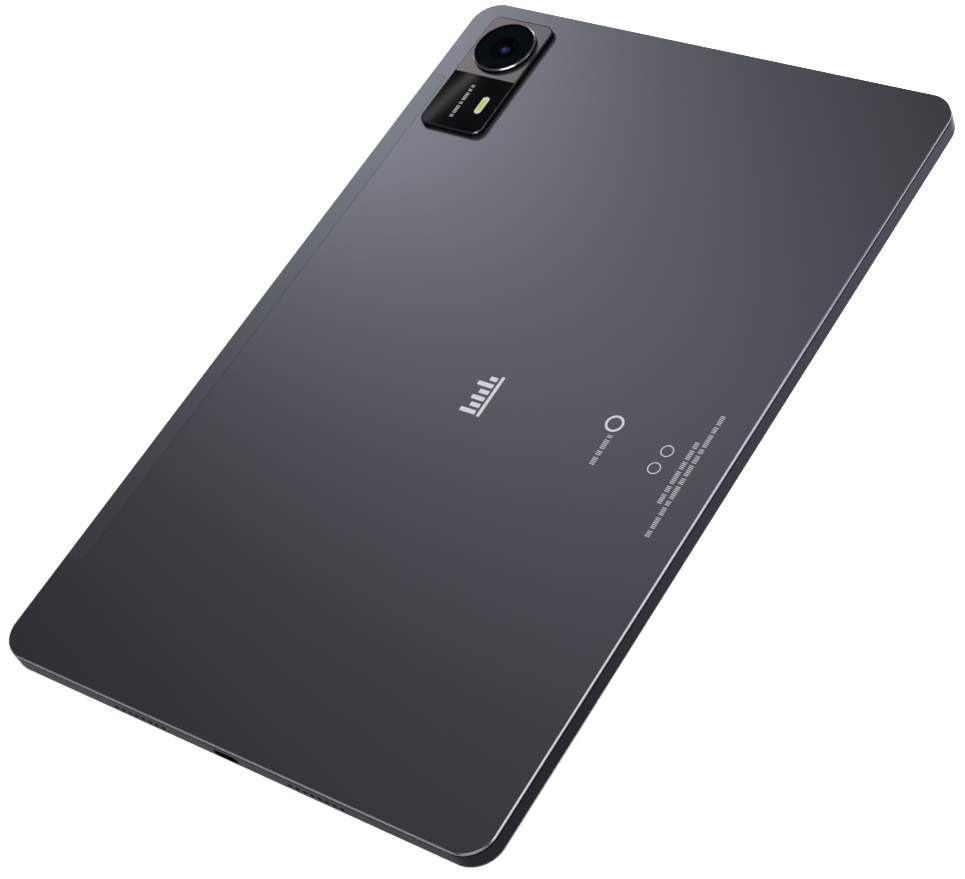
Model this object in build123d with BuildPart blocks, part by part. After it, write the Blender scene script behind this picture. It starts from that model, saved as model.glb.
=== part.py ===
from build123d import *
import os

# Tablet computer, about 12 inch, lying on its screen with its back up.
# Row frame: origin at the middle of the screen glass's outer face, +Z out of the back,
# +Y towards the end that carries the rear camera, +X to the right seen from the back.
# Every height below is measured from the outer face of the screen glass. Millimetres.

os.makedirs("parts", exist_ok=True)

# ---------------------------------------------------------------- driving dimensions
WIDTH = 178.0
LENGTH = 275.0
THICKNESS = 7.6
CORNER = 9.3
WALL = 1.6

HALF_W = WIDTH / 2
HALF_L = LENGTH / 2
INNER_X = HALF_W - WALL
INNER_Y = HALF_L - WALL

# heights of the stack
BEZEL_LOW = 0.25
GLASS_TOP = 0.7
BEZEL_TOP = 1.15
CELL_TOP = 1.6
FILMS_TOP = 1.85
GUIDE_TOP = 2.35
LIGHT_FRAME_TOP = 2.5
BACK_PLATE_TOP = 2.65
MIDPLATE_LOW = 2.95
MIDPLATE_TOP = 3.35
BATTERY_LOW = 3.45
BATTERY_TOP = 6.15
BOARD_LOW = 4.95
BOARD_TOP = 5.75
SUB_BOARD_LOW = 3.5
SUB_BOARD_TOP = 4.3
BAND_TOP = 6.2
COVER_UNDER = 6.8

# rear cover edge
EDGE_CHAMFER = 0.36
GROOVE_DEPTH = 0.45
RIM_GAP = 0.1
RIM_THICK = 0.7
RIM_LOW = 5.9

# antenna window in the cover's left edge
WINDOW_WIDTH = 6.8
WINDOW_HALF_LENGTH = 102.6
WINDOW_CORNER = 2.0
SEAM = 0.06

# rear camera island
ISLAND_X = -67.5
ISLAND_Y = 106.15
ISLAND_W = 25.0
ISLAND_L = 49.5
ISLAND_R = 3.5
ISLAND_TOP = 9.1
ISLAND_RIM = 0.45
ISLAND_EDGE = 0.25
ISLAND_FLOOR = 7.9
PANEL_LOW = 8.5
PANEL_SPLIT_Y = 104.9
LENS_Y = 117.7
LENS_RING_R = 10.75
LENS_RING_TOP = 10.3
LENS_RING_CHAMFER = 0.35
LENS_GLASS_R = 10.0
FLASH_X = -61.2
FLASH_Y = 93.4
FLASH_LENGTH = 7.6
FLASH_WIDTH = 2.7

# openings in the band
SPEAKER_HOLES = 8
SPEAKER_PITCH = 2.62
SPEAKER_X = 32.75
SPEAKER_HOLE_R = 0.65
SPEAKER_Z = 3.1
USB_Z = 2.9
USB_OPENING = (9.1, 3.2)
MIC_X = -74.0
MIC_Z = 3.75
MIC_HOLE_R = 0.45

# keys
KEY_Z = 3.75
KEY_HEIGHT = 2.0
KEY_PROUD = 0.35
KEY_PLAY = 0.06
POWER_X = -58.0
POWER_LENGTH = 13.0
VOLUME_Y = 108.0
VOLUME_LENGTH = 22.0

# card tray
DOOR_Y = 81.0
DOOR_LENGTH = 20.0
DOOR_HEIGHT = 2.6
DOOR_THICK = 1.1
CARD_Z = 4.15
TRAY_Y = 79.0
TRAY_WIDTH = 14.0
TRAY_THICK = 0.9
TRAY_END_X = -60.0
ROD_Y = 88.8
ROD_SIDE = 0.8
LEVER_X = -57.5
LEVER_Y = 84.8

# battery and boards
CELL_INNER_X = 2.5
CELL_OUTER_X = 79.5
CELL_LOW_Y = -100.0
CELL_HIGH_Y = 66.0
BOARD_HALF_X = 84.0
BOARD_LOW_Y = 70.0
BOARD_HIGH_Y = 109.0
SCREW_SPOTS = [(-79.5, 105), (-25, 106), (25, 106), (79.5, 105), (-48, 73.5), (12, 73.5), (48, 73.5), (80, 73.5)]
SCREW_R = 0.7


def save(builder, name):
    """Writes one finished sub-part as its own STEP file."""
    builder.part.label = name
    export_step(builder.part, f"parts/{name}.step")


def outline(inset, mode=Mode.ADD):
    """The tablet's rounded outline, moved in by inset, in the open sketch."""
    return RectangleRounded(WIDTH - 2 * inset, LENGTH - 2 * inset, CORNER - inset, mode=mode)


def island_outline(inset, mode=Mode.ADD):
    """The camera island's rounded outline, moved in by inset, in the open sketch."""
    with Locations((ISLAND_X, ISLAND_Y)):
        RectangleRounded(ISLAND_W - 2 * inset, ISLAND_L - 2 * inset, ISLAND_R - inset, mode=mode)


def slab(x0, x1, y0, y1, mode=Mode.ADD):
    """A plain rectangle between two corners, in the open sketch."""
    with Locations(((x0 + x1) / 2, (y0 + y1) / 2)):
        Rectangle(x1 - x0, y1 - y0, mode=mode)


def block(x0, x1, y0, y1, z0, z1, mode=Mode.ADD):
    """A plain box between two corners, in the open part."""
    with Locations(((x0 + x1) / 2, (y0 + y1) / 2, (z0 + z1) / 2)):
        Box(x1 - x0, y1 - y0, z1 - z0, mode=mode)


# ================================================================ housing
def window_region(grow):
    """The strip of the cover's left edge that is plastic, grown by half a seam, in the open sketch."""
    reach = WINDOW_WIDTH + grow
    half = WINDOW_HALF_LENGTH + grow
    with Locations((-HALF_W, 0)):
        RectangleRounded(2 * reach, 2 * half, WINDOW_CORNER)


# the whole back, metal and plastic together: plate, skirt, locating rim and bright chamfer
with BuildPart() as whole_back:
    with BuildSketch(Plane.XY.offset(COVER_UNDER)):
        outline(0)
    extrude(amount=THICKNESS - COVER_UNDER)
    chamfer(faces().sort_by(Axis.Z)[-1].edges(), EDGE_CHAMFER)
    with BuildSketch(Plane.XY.offset(BAND_TOP)):
        outline(GROOVE_DEPTH)
        outline(WALL, mode=Mode.SUBTRACT)
    extrude(amount=COVER_UNDER - BAND_TOP)
    with BuildSketch(Plane.XY.offset(RIM_LOW)):
        outline(WALL + RIM_GAP)
        outline(WALL + RIM_GAP + RIM_THICK, mode=Mode.SUBTRACT)
    extrude(amount=COVER_UNDER - RIM_LOW)

with BuildPart() as rear_cover:
    add(whole_back.part)
    with BuildSketch(Plane.XY.offset(RIM_LOW)):
        window_region(SEAM / 2)
    extrude(amount=THICKNESS - RIM_LOW + 1, mode=Mode.SUBTRACT)
    with BuildSketch(Plane.XY.offset(COVER_UNDER)):
        island_outline(-0.03)
    extrude(amount=THICKNESS, mode=Mode.SUBTRACT)
save(rear_cover, "rear_cover")

with BuildPart() as antenna_window:
    add(whole_back.part)
    with BuildSketch(Plane.XY.offset(RIM_LOW)):
        window_region(-SEAM / 2)
    extrude(amount=THICKNESS - RIM_LOW + 1, mode=Mode.INTERSECT)
save(antenna_window, "antenna_window")


with BuildPart() as side_frame:
    with BuildSketch(Plane.XY.offset(BEZEL_TOP)):
        outline(0)
        outline(WALL, mode=Mode.SUBTRACT)
    extrude(amount=BAND_TOP - BEZEL_TOP)
    # shelves on the long sides that carry the midplate, broken for the front camera
    with BuildSketch(Plane.XY.offset(MIDPLATE_LOW - 0.6)):
        slab(INNER_X - 2.9, INNER_X, -120, 120)
        slab(-INNER_X, -INNER_X + 2.9, -120, -6)
        slab(-INNER_X, -INNER_X + 2.9, 6, 64)
    extrude(amount=0.6)
    # speaker holes run through both end walls
    for side in (-1, 1):
        with Locations((side * SPEAKER_X, 0, SPEAKER_Z)):
            with GridLocations(SPEAKER_PITCH, 1, SPEAKER_HOLES, 1):
                Cylinder(SPEAKER_HOLE_R, LENGTH * 1.1, rotation=(90, 0, 0), mode=Mode.SUBTRACT)
    with BuildSketch(Plane.XZ.offset(HALF_L)):
        with Locations((0, USB_Z)):
            SlotOverall(*USB_OPENING)
        with Locations((MIC_X, MIC_Z)):
            Circle(MIC_HOLE_R)
    extrude(amount=-WALL, mode=Mode.SUBTRACT)
    with BuildSketch(Plane.XZ.offset(-HALF_L)):
        with Locations((POWER_X, KEY_Z)):
            SlotOverall(POWER_LENGTH + 2 * KEY_PLAY, KEY_HEIGHT + 2 * KEY_PLAY)
    extrude(amount=WALL, mode=Mode.SUBTRACT)
    with BuildSketch(Plane.YZ.offset(-HALF_W)):
        with Locations((VOLUME_Y, KEY_Z)):
            SlotOverall(VOLUME_LENGTH + 2 * KEY_PLAY, KEY_HEIGHT + 2 * KEY_PLAY)
        with Locations((DOOR_Y, CARD_Z)):
            SlotOverall(DOOR_LENGTH + 0.16, DOOR_HEIGHT + 0.16)
    extrude(amount=WALL, mode=Mode.SUBTRACT)
save(side_frame, "side_frame")

with BuildPart() as front_bezel:
    with BuildSketch(Plane.XY.offset(GLASS_TOP)):
        outline(0.1)
        outline(3.0, mode=Mode.SUBTRACT)
    extrude(amount=BEZEL_TOP - GLASS_TOP)
    with BuildSketch(Plane.XY.offset(BEZEL_LOW)):
        outline(0.1)
        outline(0.5, mode=Mode.SUBTRACT)
    extrude(amount=GLASS_TOP - BEZEL_LOW)
save(front_bezel, "front_bezel")

with BuildPart() as cover_glass:
    with BuildSketch():
        outline(0.55)
    extrude(amount=GLASS_TOP)
    fillet(faces().sort_by(Axis.Z)[0].edges(), 0.35)
save(cover_glass, "cover_glass")

# ================================================================ display
CELL_HALF_X = 82.0
CELL_LOW_END = -129.4
CELL_HIGH_END = 131.0

with BuildPart() as lcd_cell:
    block(-CELL_HALF_X, CELL_HALF_X, CELL_LOW_END, CELL_HIGH_END, GLASS_TOP, CELL_TOP)
save(lcd_cell, "lcd_cell")

with BuildPart() as optical_films:
    block(-81, 81, -128.4, 129, CELL_TOP, FILMS_TOP)
save(optical_films, "optical_films")

with BuildPart() as light_guide:
    block(-81, 81, -128.4, 128.4, FILMS_TOP, GUIDE_TOP)
save(light_guide, "light_guide")

with BuildPart() as backlight_frame:
    with BuildSketch(Plane.XY.offset(CELL_TOP)):
        slab(-CELL_HALF_X, CELL_HALF_X, CELL_LOW_END, CELL_HIGH_END)
        slab(-81.1, 81.1, -128.5, 129.9, mode=Mode.SUBTRACT)
    extrude(amount=LIGHT_FRAME_TOP - CELL_TOP)
save(backlight_frame, "backlight_frame")

LED_COUNT = 30
with BuildPart() as backlight_led_bar:
    block(-78, 78, 129.45, 129.85, FILMS_TOP, GUIDE_TOP)
    with Locations((0, 129.0, (FILMS_TOP + GUIDE_TOP) / 2)):
        with GridLocations(156 / LED_COUNT, 1, LED_COUNT, 1):
            Box(3.0, 0.9, 0.4)
save(backlight_led_bar, "backlight_led_bar")

with BuildPart() as display_back_plate:
    block(-CELL_HALF_X, CELL_HALF_X, CELL_LOW_END, CELL_HIGH_END, LIGHT_FRAME_TOP, BACK_PLATE_TOP)
    with Locations((0, 0, BACK_PLATE_TOP)):
        with GridLocations(70, 80, 2, 3):
            Box(50, 0.6, 0.1, align=(Align.CENTER, Align.CENTER, Align.MIN))
save(display_back_plate, "display_back_plate")

FLEX_THICK = 0.12
FLEX_SLOT_Y = 100.0
with BuildPart() as display_flex:
    block(-15, 15, CELL_HIGH_END, 132.7, 1.0, 1.0 + FLEX_THICK)
    block(-15, 15, 132.7 - FLEX_THICK, 132.7, 1.0, 2.86)
    block(-15, 15, FLEX_SLOT_Y, 132.7, 2.74, 2.86)
    block(-15, 15, FLEX_SLOT_Y, FLEX_SLOT_Y + FLEX_THICK, 2.74, 4.25)
    block(-14, 14, FLEX_SLOT_Y - 1.2, FLEX_SLOT_Y + 1.2, 4.25, BOARD_LOW)
save(display_flex, "display_flex")

FRONT_CAMERA_X = -84.7
with BuildPart() as midplate:
    with BuildSketch(Plane.XY.offset(MIDPLATE_LOW)):
        RectangleRounded(2 * 86.6, 2 * 128.5, 3)
        slab(-90, -84.6, 94, 122, mode=Mode.SUBTRACT)
        slab(-90, -82.5, -2.4, 2.4, mode=Mode.SUBTRACT)
        slab(-17, 17, FLEX_SLOT_Y - 1.5, FLEX_SLOT_Y + 1.5, mode=Mode.SUBTRACT)
    extrude(amount=MIDPLATE_TOP - MIDPLATE_LOW)
    with BuildSketch(Plane.XY.offset(MIDPLATE_TOP)):
        with Locations(*SCREW_SPOTS):
            Circle(1.8)
    extrude(amount=BOARD_LOW - MIDPLATE_TOP)
    with BuildSketch(Plane.XY.offset(MIDPLATE_LOW)):
        with Locations(*SCREW_SPOTS):
            Circle(SCREW_R)
    extrude(amount=BOARD_LOW, mode=Mode.SUBTRACT)
save(midplate, "midplate")

with BuildPart() as front_camera:
    block(FRONT_CAMERA_X - 1.9, FRONT_CAMERA_X + 1.9, -2, 2, 1.2, 4.2)
    with BuildSketch(Plane.XY.offset(0.75)):
        with Locations((FRONT_CAMERA_X, 0)):
            Circle(1.25)
    extrude(amount=0.5)
    with BuildSketch(Plane.XY.offset(0.75)):
        with Locations((FRONT_CAMERA_X, 0)):
            Circle(0.6)
    extrude(amount=0.25, mode=Mode.SUBTRACT)
save(front_camera, "front_camera")

# ================================================================ rear camera island
with BuildPart() as camera_trim:
    with BuildSketch(Plane.XY.offset(6.2)):
        island_outline(-1.2)
    extrude(amount=0.45)
    with BuildSketch(Plane.XY.offset(6.65)):
        island_outline(0)
    extrude(amount=ISLAND_TOP - 6.65)
    chamfer(faces().sort_by(Axis.Z)[-1].edges(), ISLAND_EDGE)
    with BuildSketch(Plane.XY.offset(PANEL_LOW)):
        island_outline(ISLAND_RIM)
    extrude(amount=1, mode=Mode.SUBTRACT)
    with BuildSketch(Plane.XY.offset(6.2)):
        island_outline(1.4)
    extrude(amount=ISLAND_FLOOR - 6.2, mode=Mode.SUBTRACT)
    with BuildSketch(Plane.XY.offset(ISLAND_FLOOR)):
        with Locations((ISLAND_X, LENS_Y)):
            Circle(9.2)
        with Locations((FLASH_X, FLASH_Y)):
            SlotOverall(FLASH_LENGTH + 0.4, FLASH_WIDTH + 0.4, rotation=90)
    extrude(amount=1, mode=Mode.SUBTRACT)
save(camera_trim, "camera_trim")

PANEL_GAP = 0.03
with BuildPart() as camera_deco_plate:
    with BuildSketch(Plane.XY.offset(PANEL_LOW)):
        island_outline(ISLAND_RIM + PANEL_GAP)
        slab(-90, -40, 60, PANEL_SPLIT_Y + PANEL_GAP, mode=Mode.SUBTRACT)
        with Locations((ISLAND_X, LENS_Y)):
            Circle(LENS_RING_R + 0.05, mode=Mode.SUBTRACT)
    extrude(amount=ISLAND_TOP - PANEL_LOW)
save(camera_deco_plate, "camera_deco_plate")

with BuildPart() as camera_glass_panel:
    with BuildSketch(Plane.XY.offset(PANEL_LOW)):
        island_outline(ISLAND_RIM + PANEL_GAP)
        slab(-90, -40, PANEL_SPLIT_Y - PANEL_GAP, 140, mode=Mode.SUBTRACT)
        with Locations((FLASH_X, FLASH_Y)):
            SlotOverall(FLASH_LENGTH + 0.06, FLASH_WIDTH + 0.06, rotation=90, mode=Mode.SUBTRACT)
    extrude(amount=ISLAND_TOP - PANEL_LOW)
save(camera_glass_panel, "camera_glass_panel")

with BuildPart() as flash_lens:
    with BuildSketch(Plane.XY.offset(8.1)):
        with Locations((FLASH_X, FLASH_Y)):
            SlotOverall(FLASH_LENGTH, FLASH_WIDTH, rotation=90)
    extrude(amount=ISLAND_TOP - 0.05 - 8.1)
    fillet(faces().sort_by(Axis.Z)[-1].edges(), 0.15)
save(flash_lens, "flash_lens")

with BuildPart() as flash_leds:
    block(FLASH_X - 2.2, FLASH_X + 2.2, FLASH_Y - 5, FLASH_Y + 5, 7.0, 7.3)
    for offset in (-1.7, 1.7):
        y = FLASH_Y + offset
        block(FLASH_X - 0.8, FLASH_X + 0.8, y - 0.8, y + 0.8, 7.3, 7.85)
save(flash_leds, "flash_leds")


LENS_AXIS = Axis((ISLAND_X, LENS_Y, 0), (0, 0, 1))
LENS_PLANE = Plane.XZ.offset(-LENS_Y)


def ring_line(points):
    """A closed line through (radius, height) points beside the lens's axis, in the open line."""
    Polyline(*[(ISLAND_X + r, z) for r, z in points], close=True)


SEAT_LOW = 9.6
with BuildPart() as lens_ring:
    with BuildSketch(LENS_PLANE):
        with BuildLine():
            ring_line([
                (9.4, PANEL_LOW),
                (LENS_RING_R, PANEL_LOW),
                (LENS_RING_R, LENS_RING_TOP - LENS_RING_CHAMFER),
                (LENS_RING_R - LENS_RING_CHAMFER, LENS_RING_TOP),
                (LENS_GLASS_R + 0.05, LENS_RING_TOP),
                (LENS_GLASS_R + 0.05, SEAT_LOW),
                (9.4, SEAT_LOW),
            ])
        make_face()
    revolve(axis=LENS_AXIS)
save(lens_ring, "lens_ring")

with BuildPart() as lens_cover_glass:
    with BuildSketch(Plane.XY.offset(SEAT_LOW)):
        with Locations((ISLAND_X, LENS_Y)):
            Circle(LENS_GLASS_R)
    extrude(amount=0.55)
    chamfer(faces().sort_by(Axis.Z)[-1].edges(), 0.1)
save(lens_cover_glass, "lens_cover_glass")

with BuildPart() as lens_baffle:
    with BuildSketch(LENS_PLANE):
        with BuildLine():
            ring_line([(5.0, 9.4), (9.3, 9.4), (9.3, 9.58), (4.9, 9.58), (3.6, 8.6), (3.6, 8.5), (3.85, 8.5)])
        make_face()
    revolve(axis=LENS_AXIS)
save(lens_baffle, "lens_baffle")

ACTUATOR_HALF = 4.8
with BuildPart() as camera_actuator:
    with Locations((ISLAND_X, LENS_Y, 3.9)):
        Box(2 * ACTUATOR_HALF, 2 * ACTUATOR_HALF, 4.1, align=(Align.CENTER, Align.CENTER, Align.MIN))
    fillet(edges().filter_by(Axis.Z), 0.8)
    with Locations((ISLAND_X, LENS_Y, 3.9)):
        Box(8.0, 8.0, 3.5, align=(Align.CENTER, Align.CENTER, Align.MIN), mode=Mode.SUBTRACT)
        Cylinder(3.6, 12, mode=Mode.SUBTRACT)
save(camera_actuator, "camera_actuator")

# the barrel rises 0.3 mm to focus and still clears the cover glass
BARREL_LOW = 4.8
BARREL_TOP = 9.2
with BuildPart() as camera_barrel:
    with BuildSketch(LENS_PLANE):
        with BuildLine():
            ring_line([
                (2.3, BARREL_LOW),
                (3.4, BARREL_LOW),
                (3.4, BARREL_TOP - 0.2),
                (3.2, BARREL_TOP),
                (2.7, BARREL_TOP),
                (1.75, BARREL_TOP - 0.45),
                (1.75, BARREL_TOP - 1.5),
                (2.3, BARREL_TOP - 1.7),
            ])
        make_face()
    revolve(axis=LENS_AXIS)
save(camera_barrel, "camera_barrel")

ELEMENT_TOP = BARREL_TOP - 0.12
ELEMENT_CURVE = 3.58
with BuildPart() as camera_front_element:
    with Locations((ISLAND_X, LENS_Y, ELEMENT_TOP - 0.83)):
        Cylinder(1.7, 0.9, align=(Align.CENTER, Align.CENTER, Align.MIN))
    with Locations((ISLAND_X, LENS_Y, ELEMENT_TOP - ELEMENT_CURVE)):
        Sphere(ELEMENT_CURVE, mode=Mode.INTERSECT)
save(camera_front_element, "camera_front_element")

with BuildPart() as camera_sensor_board:
    block(ISLAND_X - 4.8, ISLAND_X + 4.8, LENS_Y - 4.8, LENS_Y + 4.8, 3.4, 3.9)
    block(ISLAND_X - 3.2, ISLAND_X + 3.2, LENS_Y - 2.4, LENS_Y + 2.4, 3.9, 4.4)
    block(ISLAND_X - 3.0, ISLAND_X + 3.0, 101, LENS_Y - 4.8, 3.45, 3.6)
    block(ISLAND_X - 4.0, ISLAND_X + 4.0, 100, 102.6, 3.45, BOARD_LOW)
save(camera_sensor_board, "camera_sensor_board")

# ================================================================ boards and ports
with BuildPart() as main_board:
    with BuildSketch(Plane.XY.offset(BOARD_LOW)):
        slab(-BOARD_HALF_X, BOARD_HALF_X, BOARD_LOW_Y, BOARD_HIGH_Y)
        slab(-15, 15, BOARD_HIGH_Y - 0.01, 124)
        with Locations(*SCREW_SPOTS):
            Circle(SCREW_R + 0.1, mode=Mode.SUBTRACT)
    extrude(amount=BOARD_TOP - BOARD_LOW)
save(main_board, "main_board")

SHIELDS = [(-52, -8, 79, 103), (4, 40, 79, 103), (50, 72, 82, 100)]
with BuildPart() as board_shields:
    for x0, x1, y0, y1 in SHIELDS:
        block(x0, x1, y0, y1, BOARD_TOP, 6.45)
    fillet(edges().filter_by(Axis.Z), 0.8)
    for x0, x1, y0, y1 in SHIELDS:
        block(x0 + 0.2, x1 - 0.2, y0 + 0.2, y1 - 0.2, BOARD_TOP, 6.3, mode=Mode.SUBTRACT)
save(board_shields, "board_shields")

# chips under the shields and the plug-in connectors of the loose cables
with BuildPart() as board_components:
    block(-40, -25, 84, 98, BOARD_TOP, 6.25)
    block(-22, -12, 85, 97, BOARD_TOP, 6.25)
    block(10, 21, 84, 97, BOARD_TOP, 6.25)
    block(25, 34, 87, 95, BOARD_TOP, 6.25)
    block(56, 65, 87, 95, BOARD_TOP, 6.25)
    block(-6, 6, 112, 115, BOARD_TOP, 6.35)
    block(-13, -8, 117, 121, BOARD_TOP, 6.35)
    block(8, 13, 117, 121, BOARD_TOP, 6.35)
    block(-7, 7, BOARD_LOW_Y + 6, BOARD_LOW_Y + 8.6, BOARD_TOP, 6.35)
save(board_components, "board_components")

with BuildPart() as sub_board:
    with BuildSketch(Plane.XY.offset(SUB_BOARD_LOW)):
        slab(-14, 14, -129.2, -104)
        slab(-82, 14, -110, -103)
        slab(-82, -66, -131.8, -109.9)
        with Locations((-78, -106.5), (10, -106.5), (-10, -124), (10, -124)):
            Circle(0.9, mode=Mode.SUBTRACT)
    extrude(amount=SUB_BOARD_TOP - SUB_BOARD_LOW)
save(sub_board, "sub_board")

with BuildPart() as sub_board_flex:
    block(-2, 2, -106, -103.5, SUB_BOARD_TOP, SUB_BOARD_TOP + 0.6)
    block(-1.6, 1.6, -103.5, 76, SUB_BOARD_TOP + 0.3, SUB_BOARD_TOP + 0.42)
    block(-4, 4, 75, 78.5, SUB_BOARD_TOP + 0.05, BOARD_LOW)
save(sub_board_flex, "sub_board_flex")

USB_LOW_Y = -HALF_L + 0.3
USB_BACK_Y = -129.5
with BuildPart() as usb_shell:
    with BuildSketch(Plane.XZ.offset(-USB_LOW_Y)):
        with Locations((0, USB_Z)):
            SlotOverall(8.94, 3.1)
    extrude(amount=USB_LOW_Y - USB_BACK_Y)
    with BuildSketch(Plane.XZ.offset(-USB_LOW_Y)):
        with Locations((0, USB_Z)):
            SlotOverall(8.34, 2.5)
    extrude(amount=USB_LOW_Y - USB_BACK_Y + 0.4, mode=Mode.SUBTRACT)
save(usb_shell, "usb_shell")

TONGUE_LOW_Y = -136.2
with BuildPart() as usb_tongue:
    block(-3.35, 3.35, TONGUE_LOW_Y, USB_BACK_Y - 0.4, USB_Z - 0.35, USB_Z + 0.35)
    fillet(edges().filter_by(Axis.Z).group_by(Axis.Y)[0], 0.5)
    block(-3.4, 3.4, USB_BACK_Y - 2.2, USB_BACK_Y - 0.4, USB_Z - 0.9, USB_Z + 0.9)
save(usb_tongue, "usb_tongue")

CONTACT_THICK = 0.05
with BuildPart() as usb_contacts:
    for height in (USB_Z - 0.35 - CONTACT_THICK / 2, USB_Z + 0.35 + CONTACT_THICK / 2):
        with Locations((0, TONGUE_LOW_Y + 2.2, height)):
            with GridLocations(0.5, 1, 12, 1):
                Box(0.26, 3.2, CONTACT_THICK)
save(usb_contacts, "usb_contacts")

with BuildPart() as microphone_boot:
    block(MIC_X - 2.2, MIC_X + 2.2, -INNER_Y, -134.6, 2.6, 4.9)
    with BuildSketch(Plane.XZ.offset(HALF_L)):
        with Locations((MIC_X, MIC_Z)):
            Circle(MIC_HOLE_R)
    extrude(amount=-5, mode=Mode.SUBTRACT)
save(microphone_boot, "microphone_boot")

with BuildPart() as microphone:
    block(MIC_X - 1.9, MIC_X + 1.9, -134.6, -131.9, 2.9, 4.6)
    fillet(edges().filter_by(Axis.Z), 0.3)
save(microphone, "microphone")

# ================================================================ battery
for side, side_name in ((-1, "left"), (1, "right")):
    with BuildPart() as battery_cell:
        middle_x = side * (CELL_INNER_X + CELL_OUTER_X) / 2
        middle_y = (CELL_LOW_Y + CELL_HIGH_Y) / 2
        with Locations((middle_x, middle_y, (BATTERY_LOW + BATTERY_TOP) / 2)):
            Box(CELL_OUTER_X - CELL_INNER_X, CELL_HIGH_Y - CELL_LOW_Y, BATTERY_TOP - BATTERY_LOW)
        fillet(edges().filter_by(Axis.Y), 1.0)
        fillet(edges().group_by(Axis.Y)[0], 0.5)
    save(battery_cell, f"battery_cell_{side_name}")

with BuildPart() as battery_protection_board:
    block(-34, 34, CELL_HIGH_Y + 0.1, 69.2, 4.9, 5.4)
    for x in (-24, -8, 8, 24):
        block(x - 2, x + 2, CELL_HIGH_Y + 0.6, 68.7, 5.4, 5.95)
save(battery_protection_board, "battery_protection_board")

with BuildPart() as battery_adhesive:
    with Locations((0, (CELL_LOW_Y + CELL_HIGH_Y) / 2, (MIDPLATE_TOP + BATTERY_LOW) / 2)):
        with GridLocations(40, 1, 4, 1):
            Box(12, 150, BATTERY_LOW - MIDPLATE_TOP)
save(battery_adhesive, "battery_adhesive")

# ================================================================ speakers
SPEAKER_BOX_W = 34.0
SPEAKER_BOX_IN_Y = 112.0
SPEAKER_NOSE_Y = 131.4
SPEAKER_BOX_OUT_Y = 134.9
SPEAKER_NOSE_TOP = 5.2
SPEAKER_TOP = 6.15
MEMBRANE_Y = 120.0
MEMBRANE_W = 20.0
MEMBRANE_L = 12.0
MEMBRANE_Z = 5.6
SPEAKER_SPOTS = [
    ("lower_left", -1, -1),
    ("lower_right", 1, -1),
    ("upper_left", -1, 1),
    ("upper_right", 1, 1),
]


def end_block(x_side, end, half_x, y0, y1, z0, z1, mode=Mode.ADD):
    """A box centred on one speaker, between two distances from the tablet's middle."""
    low, high = sorted((end * y0, end * y1))
    block(x_side * SPEAKER_X - half_x, x_side * SPEAKER_X + half_x, low, high, z0, z1, mode=mode)


for spot, x_side, end in SPEAKER_SPOTS:
    with BuildPart() as speaker_box:
        half = SPEAKER_BOX_W / 2
        end_block(x_side, end, half, SPEAKER_BOX_IN_Y, SPEAKER_BOX_OUT_Y, SUB_BOARD_LOW, SPEAKER_TOP)
        fillet(edges().filter_by(Axis.Z), 0.6)
        end_block(x_side, end, half - 4, SPEAKER_NOSE_Y, INNER_Y - 0.2, 1.9, SPEAKER_NOSE_TOP)
        # sound duct behind the band's holes, and the seat of the driver
        end_block(x_side, end, 10.6, SPEAKER_NOSE_Y + 0.6, INNER_Y, 2.2, 4.2, mode=Mode.SUBTRACT)
        with BuildSketch(Plane.XY.offset(4.3)):
            with Locations((x_side * SPEAKER_X, end * MEMBRANE_Y)):
                RectangleRounded(MEMBRANE_W + 0.6, MEMBRANE_L + 0.6, 3.3)
        extrude(amount=3, mode=Mode.SUBTRACT)
    save(speaker_box, f"speaker_box_{spot}")
    with BuildPart() as speaker_membrane:
        with BuildSketch(Plane.XY.offset(MEMBRANE_Z)):
            with Locations((x_side * SPEAKER_X, end * MEMBRANE_Y)):
                RectangleRounded(MEMBRANE_W, MEMBRANE_L, 3.0)
        extrude(amount=0.15)
        with BuildSketch(Plane.XY.offset(MEMBRANE_Z + 0.1)):
            with Locations((x_side * SPEAKER_X, end * MEMBRANE_Y)):
                RectangleRounded(MEMBRANE_W - 5, MEMBRANE_L - 5, 2.0)
        extrude(amount=0.2)
    save(speaker_membrane, f"speaker_membrane_{spot}")

with BuildPart() as speaker_magnets:
    for spot, x_side, end in SPEAKER_SPOTS:
        end_block(x_side, end, 6.5, MEMBRANE_Y - 3.2, MEMBRANE_Y + 3.2, 4.3, 5.2)
save(speaker_magnets, "speaker_magnets")

with BuildPart() as speaker_meshes:
    for spot, x_side, end in SPEAKER_SPOTS:
        end_block(x_side, end, 10.8, INNER_Y - 0.18, INNER_Y - 0.02, 2.0, 4.4)
save(speaker_meshes, "speaker_meshes")

# ================================================================ keys
KEY_FLANGE = 0.6
POWER_FACE_Y = HALF_L + KEY_PROUD
POWER_FLANGE_Y = INNER_Y - 0.1
with BuildPart() as power_button:
    with BuildSketch(Plane.XZ.offset(-POWER_FACE_Y)):
        with Locations((POWER_X, KEY_Z)):
            SlotOverall(POWER_LENGTH, KEY_HEIGHT)
    extrude(amount=POWER_FACE_Y - POWER_FLANGE_Y)
    fillet(faces().sort_by(Axis.Y)[-1].edges(), 0.25)
    with BuildSketch(Plane.XZ.offset(-POWER_FLANGE_Y)):
        with Locations((POWER_X, KEY_Z)):
            Rectangle(POWER_LENGTH + 2, KEY_HEIGHT + 0.9)
    extrude(amount=KEY_FLANGE)
    with BuildSketch(Plane.XZ.offset(-POWER_FLANGE_Y + KEY_FLANGE)):
        with Locations((POWER_X, KEY_Z)):
            Circle(0.8)
    extrude(amount=0.3)
save(power_button, "power_button")

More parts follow.
